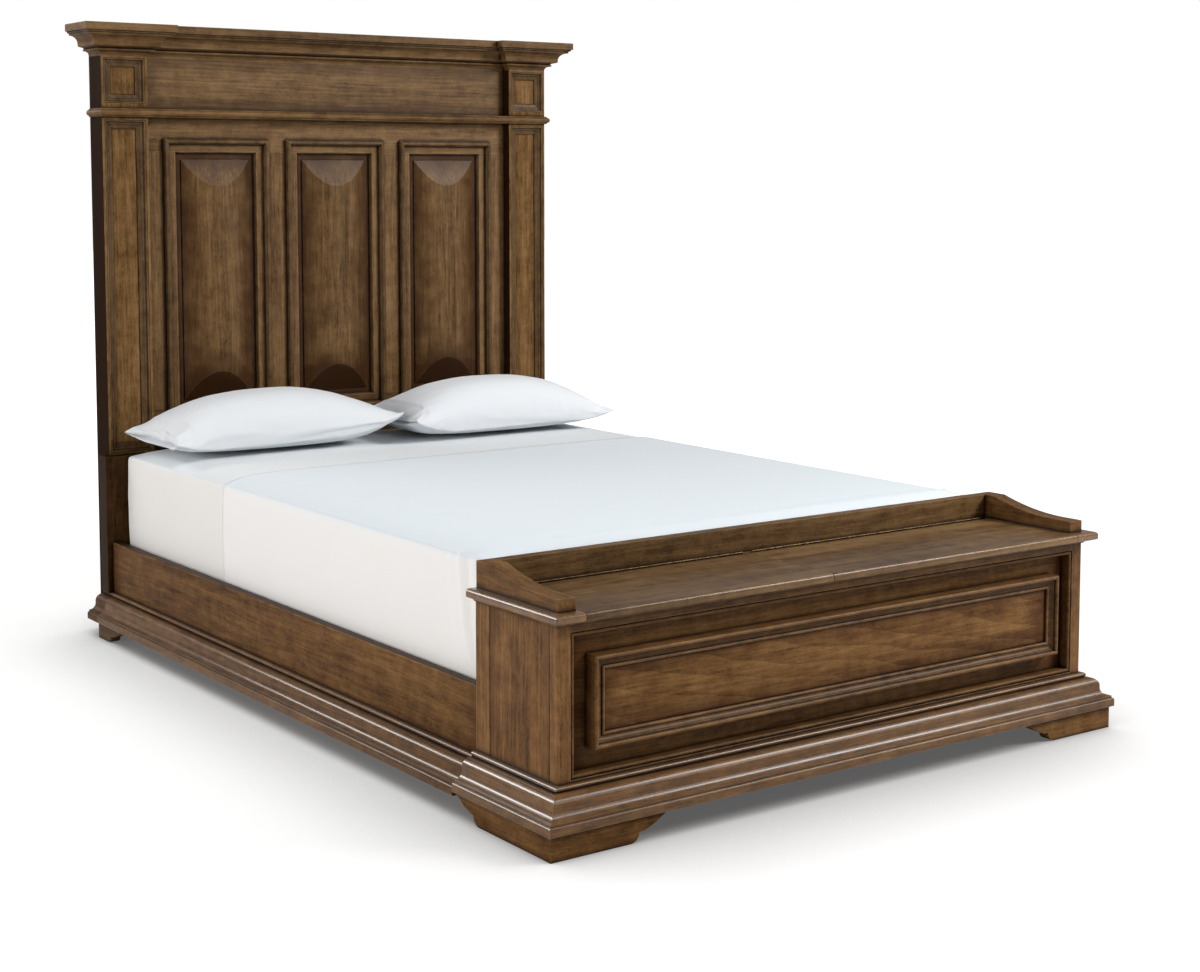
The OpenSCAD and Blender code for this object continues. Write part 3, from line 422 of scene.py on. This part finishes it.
def cotton(name, top, side, wrinkle):
    """Plain woven cotton with soft creases: one colour where it looks up and another at the sides, which
    paint light and shade, and painted shade in narrow creases.
    """
    t = material_nodes(name)
    place = t.place()
    weave = woven(t, place)
    soft = t.noise(place, (3.0, 5.0, 4.0), detail=3.0, rough=0.55)
    crease = t.noise(place, (9.0, 16.0, 14.0), detail=4.0, rough=0.6)
    tint = t.mix(t.span(t.facing()[Z], 0.1, 0.9), rgba(side), rgba(top))
    tint = t.mix(t.span(soft, 0.3, 0.7, 0.0, 0.05), tint, rgba(side, 0.8))
    # painted shade: grey where ambient occlusion finds narrow creases and contacts
    tint = t.mix(t.span(t.open_sky(0.012), 0.30, 0.85, 0.65, 1.0), rgba((0.50, 0.51, 0.52)), tint)
    relief = t.sum((weave, 0.03), (crease, wrinkle))
    return t.principled(
        tint, 0.86, t.bump(relief, 0.35, 0.004),
        Specular_IOR_Level=0.25, Sheen_Weight=0.2, Sheen_Roughness=0.5)


# The dress of the CAD nodes

def moulding_shadow_reach():
    """The front field's reach along X: its moulding and the margin beside it, where the field's border is
    painted shadow of the moulding.
    """
    margin = 0.046
    low, high = corners("front_moulding")
    return {X: (low[X] - margin, high[X] + margin)}


def raised_panel(node):
    """What a raised panel gets: its border runs round the raised barrel, inside the tongue, and its downward
    faces get painted shade.
    """
    tongue, lower_scoop = 0.012, 0.09
    low, high = corners(node)
    box = {X: (low[X] + tongue, high[X] - tongue), Z: (low[Z] + lower_scoop, high[Z] - tongue)}
    return {"box": box, "depth": 0.088, "edge": 0.95, "figure": 0.35, "under": 0.50, "gloss": 0.12}


# Borders that start off a board's own edges: the rails' beyond both ends, the inset panel's lopsided
RAIL_REACH = {Y: (-0.95, 1.19)}
INSET_REACH = {X: (-0.68, 0.655), Z: (0.225, 0.38)}
SIDE_PANEL_REACH = {**reach_along("chest_side_panels", Y), Z: (0.10, 0.50)}

# Painted shade darkens the posts' and plinths' sideways faces, the rails' tops and the raised panels'
# downward faces
POST = {"side_shade": 0.97, "gloss": 0.015, "rough": 0.55, "shade": 1.12}
# The plinths' dark tone is painted shade of their corner behind the rails
PLINTH = {"side_shade": 0.7, "gloss": 0.05, "shade": 0.38}
CORNICE = {"glaze_and_shade": 0.97, "gloss": 0.1, "shade": 0.85}
DEEP_MOULDING = {"glaze_and_shade": 0.98, "wear_and_highlight": 0.9}
RAIL = {"box": RAIL_REACH, "depth": 0.14, "over": 0.80, "gloss": 0.06, "shade": 0.92, "wear_and_highlight": 1.0}
POLISHED = {"rough": 0.40, "grit": 0.02, "wear_and_highlight": 0.2, "soften": False}
# The front field's darker ends are painted shadow of its moulding
FRONT_FIELD_SHADOWED = {
    "box": moulding_shadow_reach(), "depth": 0.075, "edge": 0.85, "glaze_and_shade": 0.66, "gloss": 0.06,
    "shade": 0.86}
LID = {"figure": 0.5, "rough": 0.30, "pore": 0.15, "gloss": 0.28, "shade": 0.95}

# Nodes, the axis of their grain, their tones and what else their wood gets
BOARDS = (
    ("left_post right_post", Z, BROWN, POST),
    ("left_plinth right_plinth", Z, RICH, PLINTH),
    ("headboard_stiles", Z, BROWN, {"shade": 1.12}),
    ("headboard_top_rail bench_rear_strip", X, BROWN, {}),
    ("headboard_bottom_rail", X, BROWN, {"shade": 0.8}),
    ("cornice_left_block cornice_centre cornice_right_block", X, BROWN, CORNICE),
    ("frieze_board", X, BROWN, {"box": reach_along("frieze_board", X, Z), "figure": 0.8, "shade": 0.95}),
    ("astragal", X, BROWN, {"glaze_and_shade": 0.97, "gloss": 0.08}),
    ("pilaster_mouldings", Z, BROWN, {**DEEP_MOULDING, "reach": 0.018, "shade": 0.64}),
    ("panel_mouldings", Z, BROWN, {**DEEP_MOULDING, "reach": 0.020, "shade": 0.67}),
    ("centre_legs", Z, BROWN, {}),
    ("head_base_returns", Y, RICH, {"shade": 0.6}),
    ("head_feet", FLAT, RICH, {"shade": 0.55}),
    ("left_rail right_rail", Y, RICH, RAIL),
    ("left_rail_moulding right_rail_moulding", Y, RICH,
     {**POLISHED, "gloss": 0.08, "shade": 0.92, "coat": 0.42}),
    ("base_moulding_sides", Y, RICH, {**POLISHED, "gloss": 0.10, "shade": 0.85, "coat": 0.8}),
    ("base_moulding_front", X, RICH,
     {**POLISHED, "rough": 0.36, "grit": 0.03, "wear_and_highlight": 0.3, "gloss": 0.38, "shade": 0.96}),
    ("chest_posts", Z, RICH, {"shade": 1.15}),
    ("chest_side_panels", Z, RICH, {"box": SIDE_PANEL_REACH, "depth": 0.045, "rim": 0.9, "shade": 1.2}),
    ("chest_front_rails chest_back", X, RICH, {}),
    ("front_bead_frame", X, RICH, {"glaze_and_shade": 0.97, "gloss": 0.1, "shade": 0.70}),
    ("front_board", X, RICH, FRONT_FIELD_SHADOWED),
    ("front_moulding", X, RICH, {**DEEP_MOULDING, "reach": 0.018, "shade": 0.84}),
    ("inset_panel", X, RICH, {"box": INSET_REACH, "depth": 0.06, "figure": 1.3, "gloss": 0.08}),
    ("chest_feet", FLAT, RICH, {"gloss": 0.05, "shade": 0.80}),
    ("bench_top_frame", X, RICH, {"glaze_and_shade": 0.95, "shade": 0.88}),
    ("end_caps", Y, RICH, {"coat": 0.9}),
    ("left_lid right_lid", X, BROWN, LID),
    ("gallery_back", X, BROWN, {"figure": 0.6, "shade": 0.9}),
    ("gallery_arms", Y, RICH, {"shade": 0.9}),
)
RAISED_PANELS = "left_raised_panel centre_raised_panel right_raised_panel"
PLAIN_ALONG_X = "headboard_back slats chest_bottom chest_divider"
PLAIN_ALONG_Y = "ledgers centre_beam"
ZINC_PLATED = "leg_glides rail_brackets hinge_pins"
BRONZED = "hinge_fixed_leaves left_hinge_leaf right_hinge_leaf"


def dress(names, material_for):
    """Give each named CAD node the material that the function makes for its name."""
    for name in names.split():
        data = nodes[name].data
        data.materials.clear()
        data.materials.append(material_for(name))


for names, grain, tones, extra in BOARDS:
    dress(names, lambda n: wood("wood_" + n, grain, tones, **extra))
dress(RAISED_PANELS, lambda n: wood("wood_" + n, Z, BROWN, **raised_panel(n)))
for names, grain in ((PLAIN_ALONG_X, X), (PLAIN_ALONG_Y, Y)):
    dress(names, lambda n: wood("plain_" + n, grain, PALE, rough=0.6, glaze_and_shade=0, specks=0.25))
steel = metal("zinc_plate", (0.55, 0.56, 0.57), rough=0.42, wear=0.75)
bronze = metal("dark_bronze", (0.085, 0.055, 0.028), rough=0.42, wear=0.5)
dress(ZINC_PLATED, lambda n: steel)
dress(BRONZED, lambda n: bronze)
dress("lid_bumpers", lambda n: felt("bumper_felt", (0.07, 0.05, 0.035)))

# The top and side colours paint light and shade: cool light on the tops, warmer sides, and shade on the
# fitted sheet's and pillows' sides
sheet_cotton = cotton("sheet_cotton", (0.738, 0.812, 0.872), (0.812, 0.808, 0.804), wrinkle=0.45)
fitted_cotton = cotton("fitted_cotton", (0.770, 0.815, 0.850), (0.765, 0.760, 0.745), wrinkle=0.30)
pillow_cotton = cotton("pillow_cotton", (0.800, 0.840, 0.885), (0.630, 0.660, 0.692), wrinkle=0.28)


# Meshes

def smooth(mesh):
    for p in mesh.polygons:
        p.use_smooth = True


def new_object(name, bm, material):
    mesh = bpy.data.meshes.new(name)
    bm.to_mesh(mesh)
    bm.free()
    smooth(mesh)
    mesh.materials.append(material)
    ob = bpy.data.objects.new(name, mesh)
    scene.collection.objects.link(ob)
    return ob


def apply_modifiers(ob):
    evaluated = ob.evaluated_get(bpy.context.evaluated_depsgraph_get())
    mesh = bpy.data.meshes.new_from_object(evaluated)
    ob.modifiers.clear()
    old = ob.data
    ob.data = mesh
    bpy.data.meshes.remove(old)
    smooth(ob.data)


def ripple(x, y, scale, seed):
    """Smooth noise about 0, with about as many swells in a metre as the scale says."""
    return noise.noise(Vector((x * scale + seed, y * scale, seed * 0.37)))


def bell(value, middle, width):
    """1 at the middle, falling to 0 on both sides."""
    return math.exp(-((value - middle) / width) ** 2)


def clamp(value):
    """The value, held between 0 and 1."""
    return max(0.0, min(1.0, value))


# Bedding

# The mattress: radius of its edges, height of its crown and how steep that is at the sides and
# ends, how far its sides draw in at top and bottom, and how far it stays inside its CAD solid
EDGE_R = 0.015
CROWN = 0.020
CROWN_POWER, END_POWER = 16, 60
SIDE_DRAW = 0.005
MATTRESS_INSET = 0.0012
# The top sheet: its thickness, its tuck below the rails' top, and its least distance from the mattress
SHEET_THICKNESS = 0.0008
TUCK = 0.022
LEAST_SLACK = 0.0004
MATTRESS_STEP, SHEET_STEP = 0.016, 0.012


def bed_surface(p):
    """A point of a box grid moved onto the mattress's soft outline, and the direction outwards there."""
    x, y, z = p
    r = EDGE_R
    top = TOP_Z - CROWN
    inner = Vector((
        max(-MATTRESS_HALF + r, min(MATTRESS_HALF - r, x)),
        max(MATTRESS_Y0 + r, min(MATTRESS_Y1 - r, y)),
        max(DECK_Z + r, min(top - r, z))))
    n = (Vector(p) - inner).normalized()
    q = inner + n * r
    middle_z = (DECK_Z + TOP_Z) / 2
    drawn = ((q.z - middle_z) / (TOP_Z - middle_z)) ** 2
    q.x -= math.copysign(SIDE_DRAW, q.x) * drawn * abs(n.x)
    lift = max(0.0, n.z) if z > middle_z else 0.0
    half_length = (MATTRESS_Y1 - MATTRESS_Y0) / 2 - r
    across = min(1.0, abs(q.x) / (MATTRESS_HALF - r)) ** CROWN_POWER
    ends = min(1.0, abs(q.y - (MATTRESS_Y0 + MATTRESS_Y1) / 2) / half_length) ** END_POWER
    q.z += lift * CROWN * (1 - across) * (1 - 0.5 * ends)
    return q, n


def stations(lo, hi, step, round_lo=True, round_hi=True):
    """Places along one side of a box grid, closer together at its rounded edges."""
    radii = (0, 0.16, 0.36, 0.62, 1.0, 1.7)
    first = [lo + EDGE_R * s for s in radii] if round_lo else [lo]
    last = [hi - EDGE_R * s for s in reversed(radii)] if round_hi else [hi]
    count = max(1, round((last[0] - first[-1]) / step))
    return first + [first[-1] + (last[0] - first[-1]) * i / count for i in range(1, count)] + last


def box_grid(lines, faces=("x0", "x1", "y0", "y1", "z0", "z1")):
    """Grid over some faces of a box; lines holds the places of its points along x, y and z."""
    bm = bmesh.new()
    seen = {}

    def vert(key):
        if key not in seen:
            seen[key] = bm.verts.new([lines[a][key[a]] for a in range(3)])
        return seen[key]

    for face in faces:
        axis = "xyz".index(face[0])
        fixed = len(lines[axis]) - 1 if face[1] == "1" else 0
        b, c = [a for a in range(3) if a != axis]
        for i in range(len(lines[b]) - 1):
            for j in range(len(lines[c]) - 1):
                ring = []
                for di, dj in ((0, 0), (1, 0), (1, 1), (0, 1)):
                    key = [0, 0, 0]
                    key[axis], key[b], key[c] = fixed, i + di, j + dj
                    ring.append(vert(tuple(key)))
                if (face[1] == "1") == (axis == 1):
                    ring.reverse()
                bm.faces.new(ring)
    return bm


def make_mattress():
    """The mattress in its fitted sheet, a little inside its CAD solid and drawn in here and there."""
    bm = box_grid([
        stations(-MATTRESS_HALF, MATTRESS_HALF, MATTRESS_STEP),
        stations(MATTRESS_Y0, MATTRESS_Y1, MATTRESS_STEP),
        stations(DECK_Z, TOP_Z - CROWN, MATTRESS_STEP)])
    for v in bm.verts:
        p, n = bed_surface(v.co)
        pull = 0.0012 * ripple(p.x + p.z, p.y, 7.0, 3.1) + 0.0008 * ripple(p.x, p.y + p.z, 17.0, 8.7)
        v.co = p - n * (MATTRESS_INSET + abs(pull))
    bm.normal_update()
    ob = new_object("mattress_with_fitted_sheet", bm, fitted_cotton)
    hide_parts("mattress")
    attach(ob, "bed")


def sheet_lie(x, y, z):
    """How far the sheet lies off the mattress where it has no fold, with its hem's thickness."""
    close, wave_height, fine_height, hem_height, hem_width = 0.0010, 0.0012, 0.0006, 0.0014, 0.06
    wave = 0.5 + 0.5 * ripple(x * 1.3 + z * 2.0, y, 3.2, 1.9)
    fine = 0.5 + 0.5 * ripple(x + z, y * 1.5, 11.0, 5.3)
    hem = 0.5 * max(0.0, 1 - abs(y - SHEET_Y1) / hem_width)
    return close + wave_height * wave + fine_height * fine + hem_height * hem


def side_pleats(y, z):
    """Fine upright pleats of the drop, in its last stretch before the chest."""
    start, fade, pitch, height = MATTRESS_Y0 + 0.13, 0.12, 0.0085, 0.0018
    near_foot = clamp((start - y) / fade)
    wave = math.sin(y / pitch + 2.0 * ripple(z, y, 9.0, 4.0))
    pleat = wave * near_foot * (0.6 + 0.4 * ripple(y, z, 8.0, 2.0))
    return height * (pleat + 0.6)


def side_folds(y, z):
    """Two leaning folds of the drop near the chest, flat where the rail holds them."""
    first_y, first_z, lean, width, apart = MATTRESS_Y0 + 0.066, 0.364, 0.20, 0.012, 0.044
    height, second_height, held_height = 0.0095, 0.0045, 0.05
    line = first_y + lean * (z - first_z) + 0.004 * ripple(z, 0.0, 9.0, 9.0)
    free = clamp((z - RAIL_TOP) / held_height)
    return free * (height * bell(y, line, width) + second_height * bell(y, line + apart, width))


def foot_fold(x, y):
    """A fold along the foot of the top, with a dip behind it."""
    ridge_y, dip_y, width = MATTRESS_Y0 + 0.030, MATTRESS_Y0 + 0.085, 0.022
    ridge_height, dip_depth = 0.0050, 0.0016
    uneven = 0.7 + 0.6 * ripple(x, 0.0, 5.0, 7.7)
    return uneven * (ridge_height * bell(y, ridge_y, width) - dip_depth * bell(y, dip_y, width))


def corner_fold(x, y):
    """A slanting fold that runs out from the left foot corner of the top."""
    slope, start, width, height, length = 0.30, 0.05, 0.022, 0.0035, 0.42
    from_side = x + MATTRESS_HALF
    from_line = from_side * slope - (y - MATTRESS_Y0) + start
    return height * bell(from_line, 0.0, width) * max(0.0, 1 - from_side / length)


def make_top_sheet():
    """The flat sheet over the mattress: open at the head, where its edge is a hem, tucked in below."""
    bm = box_grid([
        stations(-MATTRESS_HALF, MATTRESS_HALF, SHEET_STEP),
        stations(MATTRESS_Y0, SHEET_Y1, SHEET_STEP, round_hi=False),
        stations(RAIL_TOP - TUCK, TOP_Z - CROWN, SHEET_STEP, round_lo=False)], ("x0", "x1", "y0", "z1"))
    for v in bm.verts:
        p, n = bed_surface(v.co)
        x, y, z = p
        off = sheet_lie(x, y, z)
        if abs(n.x) > 0.5:
            off += side_pleats(y, z)
            off += side_folds(y, z)
        if n.z > 0.3:
            off += foot_fold(x, y)
            off += corner_fold(x, y)
        v.co = p + n * max(LEAST_SLACK, off)
    bm.normal_update()
    ob = new_object("top_sheet_cloth", bm, sheet_cotton)
    thick = ob.modifiers.new("thickness", "SOLIDIFY")
    thick.thickness = SHEET_THICKNESS
    thick.offset = 1
    apply_modifiers(ob)
    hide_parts("top_sheet")
    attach(ob, "bed")


# Pillows

# Points along and across a pillow, how full it is, the least height of its seam, and the share by
# which its sides pull in between the corners
PILLOW_N, PILLOW_M = 88, 56
PUFF_POWER = 2.6
SEAM_Z = 0.020
WAIST = 0.07
# The case's open end: depth of the pocket that shows, and the hem's distance from the end
MOUTH_DEPTH = 0.030
HEM_FROM_END = 0.066
# Below this height a pillow rests and hardly creases; the gap keeps it clear of the sheet
RESTING_Z = 0.012
PILLOW_GAP = 0.0006
SWELL_FRAMES = 20


def pillow_point(size, u, v, up, lifts, mouth):
    """Upper or under face of a pillow; lifts raises its seam at each end, mouth opens its left end."""
    length, depth, height = size
    puff = math.sqrt(max(0.0, (1 - abs(u) ** PUFF_POWER) * (1 - abs(v) ** PUFF_POWER)))
    seam = SEAM_Z + (lifts[0] if u < 0 else lifts[1]) * u ** 4 + 0.017 * v * v
    gape = mouth * max(0.0, -u) ** 8 * (1 - v * v)
    x = length / 2 * u * (1 - WAIST * (1 - v * v))
    y = depth / 2 * v * (1 - WAIST * (1 - u * u))
    z = seam + gape + (height - seam) * puff if up else max(0.0, seam - gape) * (1 - puff)
    return Vector((x, y, z))


def pillow_faces(bm, size, lifts, mouth):
    """The two puffed faces, joined along three sides; gives the points of both by face, column, row."""
    nx, ny = PILLOW_N, PILLOW_M
    spots = {}
    for up in (True, False):
        for j in range(ny + 1):
            for i in range(nx + 1):
                shared = i == nx or j in (0, ny)
                if shared and not up:
                    spots[up, i, j] = spots[True, i, j]
                    continue
                u, v = (math.sin(math.pi / 2 * (2 * k / n - 1)) for k, n in ((i, nx), (j, ny)))
                spots[up, i, j] = bm.verts.new(pillow_point(size, u, v, up, lifts, mouth))
    for up in (True, False):
        for j in range(ny):
            for i in range(nx):
                ring = [spots[up, i, j], spots[up, i + 1, j], spots[up, i + 1, j + 1], spots[up, i, j + 1]]
                if not up:
                    ring.reverse()
                bm.faces.new(ring)
    return spots


def pillow_pocket(bm, spots):
    """The open left end of the case: a pocket that runs in between the two faces."""
    ny = PILLOW_M
    rows = [[spots[True, 0, j] for j in range(ny + 1)]]
    for inwards, upwards in ((0.5, 0.7), (1.0, 0.5), (0.5, 0.3)):
        row = [spots[True, 0, 0]]
        for j in range(1, ny):
            top, low = spots[True, 0, j].co, spots[False, 0, j].co
            v = 2 * j / ny - 1
            q = low.lerp(top, upwards)
            q.x += MOUTH_DEPTH * inwards * (1 - v * v)
            row.append(bm.verts.new(q))
        row.append(spots[True, 0, ny])
        rows.append(row)
    rows.append([spots[False, 0, j] for j in range(ny + 1)])
    for a, b in zip(rows, rows[1:]):
        for j in range(ny):
            ring = []
            for vert in (a[j], a[j + 1], b[j + 1], b[j]):
                if vert not in ring:
                    ring.append(vert)
            if len(ring) > 2:
                bm.faces.new(ring)


def pillow_creases(point, size, seed):
    """How far a point of the pillow moves outwards: soft waves, gathers near the seams and the hem."""
    x, y, z = point
    length, depth, _ = size
    u, v = 2 * x / length, 2 * y / depth
    gather_start, gather_pitch, gather_height = 0.55, 0.0062, 0.0022
    stitch_depth, stitch_width, double_height, double_rise = 0.0026, 0.0030, 0.0016, 0.004
    edge = max(0.0, (max(abs(u), abs(v)) - gather_start) / (1 - gather_start))
    soft = 0.0030 * ripple(x + seed, y, 5.0, seed) + 0.0012 * ripple(x, y + z, 14.0, seed + 3)
    run = x if abs(v) > abs(u) else y
    gather = math.sin(run / gather_pitch + 3.0 * ripple(x, y, 6.0, seed)) * ripple(run, z, 11.0, seed + 6)
    hem_x = -length / 2 + HEM_FROM_END
    hem = -stitch_depth * bell(x, hem_x, stitch_width) + double_height * clamp((hem_x - x) / double_rise)
    resting = 0.25 if z < RESTING_Z else 1.0
    return (soft + gather_height * gather * edge * (1 - edge) * 4) * resting + hem


def swell(ob, pressure, stretch, cap):
    """Short cloth simulation: air pressure and a little spare fabric; no point moves further than cap."""
    before = [v.co.copy() for v in ob.data.vertices]
    cloth = ob.modifiers.new("cloth", "CLOTH")
    fabric = cloth.settings
    fabric.quality = 5
    fabric.mass = 0.25
    fabric.tension_stiffness = fabric.compression_stiffness = 12
    fabric.shear_stiffness = 6
    fabric.bending_stiffness = 0.05
    fabric.use_pressure = True
    fabric.uniform_pressure_force = pressure
    fabric.shrink_min = -stretch
    fabric.effector_weights.gravity = 0
    cloth.collision_settings.use_collision = False
    cloth.collision_settings.use_self_collision = False
    cloth.point_cache.frame_start, cloth.point_cache.frame_end = 1, SWELL_FRAMES
    for f in range(1, SWELL_FRAMES + 1):
        scene.frame_set(f)
    evaluated = ob.evaluated_get(bpy.context.evaluated_depsgraph_get())
    after = [v.co.copy() for v in evaluated.to_mesh().vertices]
    evaluated.to_mesh_clear()
    ob.modifiers.clear()
    scene.frame_set(1)
    for v, a, b in zip(ob.data.vertices, before, after):
        step = b - a
        if step.length > cap:
            step *= cap / step.length
        v.co = a + step
        v.co.z = max(TOP_Z + PILLOW_GAP + LEAST_SLACK, v.co.z)


def make_pillow(node, lifts, mouth, seed):
    """A pillow in its case, in the place and of the size of its CAD node."""
    middle, size = middle_and_size(node)
    bm = bmesh.new()
    spots = pillow_faces(bm, size, lifts, mouth)
    pillow_pocket(bm, spots)
    bmesh.ops.recalc_face_normals(bm, faces=bm.faces)
    bm.normal_update()
    moves = [(vert, vert.normal * pillow_creases(vert.co, size, seed)) for vert in bm.verts]
    for vert, move in moves:
        vert.co += move
        vert.co.z = max(LEAST_SLACK, vert.co.z)
    bmesh.ops.translate(bm, vec=(middle[X], middle[Y], TOP_Z + PILLOW_GAP), verts=bm.verts)
    ob = new_object(node + "_cased", bm, pillow_cotton)
    swell(ob, pressure=2.0, stretch=0.05, cap=0.007)
    sub = ob.modifiers.new("subdivide", "SUBSURF")
    sub.levels = sub.render_levels = 1
    apply_modifiers(ob)
    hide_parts(node)
    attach(ob, "bed")


make_mattress()
make_top_sheet()
make_pillow("left_pillow", lifts=(0.012, 0.062), mouth=0.010, seed=2.2)
make_pillow("right_pillow", lifts=(0.034, 0.012), mouth=0.004, seed=6.4)


# Stage

FLOOR_HALF = 30.0
FLOOR_GAP = 0.0004


def floor_material():
    """Pale floor that keeps the object's shadow from the lamps, and looks white where it sees open sky; near
    the object its glow fades in a painted contact shadow.
    """
    t = material_nodes("pale_floor")
    place = t.place()
    tint = t.mix(t.noise(place, 0.6), rgba((0.80, 0.80, 0.80)), rgba((0.83, 0.83, 0.83)))
    lit = t.add("ShaderNodeBsdfDiffuse", {"Color": tint}).outputs[0]
    shadowed = t.add("ShaderNodeBsdfDiffuse", {"Color": rgba((0.17, 0.166, 0.162))}).outputs[0]
    # painted contact shadow: the glow shown to the camera fades where ambient occlusion finds the object
    # near
    sky = t.open_sky(0.6, samples=16)
    far = t.add("ShaderNodeVectorMath", {0: place}, operation="LENGTH").outputs["Value"]
    strength = t.math("MULTIPLY", t.span(sky, 0.30, 0.91, 0.10, 0.90), t.span(far, 2.2, 6.0, 1.0, 1.5))
    glow = t.add("ShaderNodeEmission", {"Color": rgba((1, 1, 1)), "Strength": strength}).outputs[0]
    shown = t.add("ShaderNodeAddShader", {0: shadowed, 1: glow}).outputs[0]
    both = t.add("ShaderNodeMixShader", {0: t.seen_directly(), 1: lit, 2: shown}).outputs[0]
    return t.surface(both)


def add_floor():
    bm = bmesh.new()
    bmesh.ops.create_grid(bm, x_segments=1, y_segments=1, size=FLOOR_HALF)
    floor = new_object("floor", bm, floor_material())
    floor.location = (0, 0, -FLOOR_GAP)


def add_world():
    """A soft grey sky for the light, and plain white behind the object."""
    t = Nodes(bpy.data.worlds.new("studio"), "ShaderNodeOutputWorld")
    sky = t.add("ShaderNodeBackground", {0: (0.99, 0.985, 1.0, 1), 1: 0.29}).outputs[0]
    white = t.add("ShaderNodeBackground", {0: (1, 1, 1, 1), 1: 1.0}).outputs[0]
    both = t.add("ShaderNodeMixShader", {0: t.seen_directly(), 1: sky, 2: white}).outputs[0]
    scene.world = t.surface(both)


def area_light(name, place, aim, size, watts, colour, diffuse=True, gloss=True):
    """A lamp; with diffuse or gloss off it shows only in reflections, or not in them."""
    data = bpy.data.lights.new(name, "AREA")
    data.shape = "RECTANGLE"
    data.size, data.size_y = size
    data.energy = watts
    data.color = colour
    ob = bpy.data.objects.new(name, data)
    scene.collection.objects.link(ob)
    ob.location = place
    ob.rotation_mode = "QUATERNION"
    ob.rotation_quaternion = turned_to(Vector(aim) - Vector(place))
    ob.visible_diffuse = diffuse
    ob.visible_glossy = gloss


WARM = (1.0, 0.965, 0.92)
SOFT_WARM = (1.0, 0.98, 0.95)
NEUTRAL = (1.0, 0.99, 0.97)
COOL = (0.93, 0.97, 1.0)
LEFT_SIDE = (-0.9, -1.0, 0.1)

add_floor()
add_world()
area_light("side_left", (-5.5, -0.6, 1.8), aim=(-0.6, -0.3, 0.3), size=(2.6, 1.8), watts=128, colour=WARM)
area_light("key_right_high", (4.2, -4.2, 4.2), aim=(0, 0.3, 0.9), size=(2.0, 2.0), watts=440,
           colour=SOFT_WARM)
area_light("top_soft", (0.0, -0.6, 5.2), aim=(0, 0.0, 0), size=(4.5, 4.5), watts=12, colour=COOL)
area_light("rim_back_left", (-3.2, 5.0, 4.3), aim=LEFT_SIDE, size=(2.8, 1.2), watts=120,
           colour=NEUTRAL, gloss=False)
area_light("card_back_left", (-3.9, 5.0, 3.7), aim=LEFT_SIDE, size=(2.4, 2.6), watts=240,
           colour=NEUTRAL, diffuse=False)
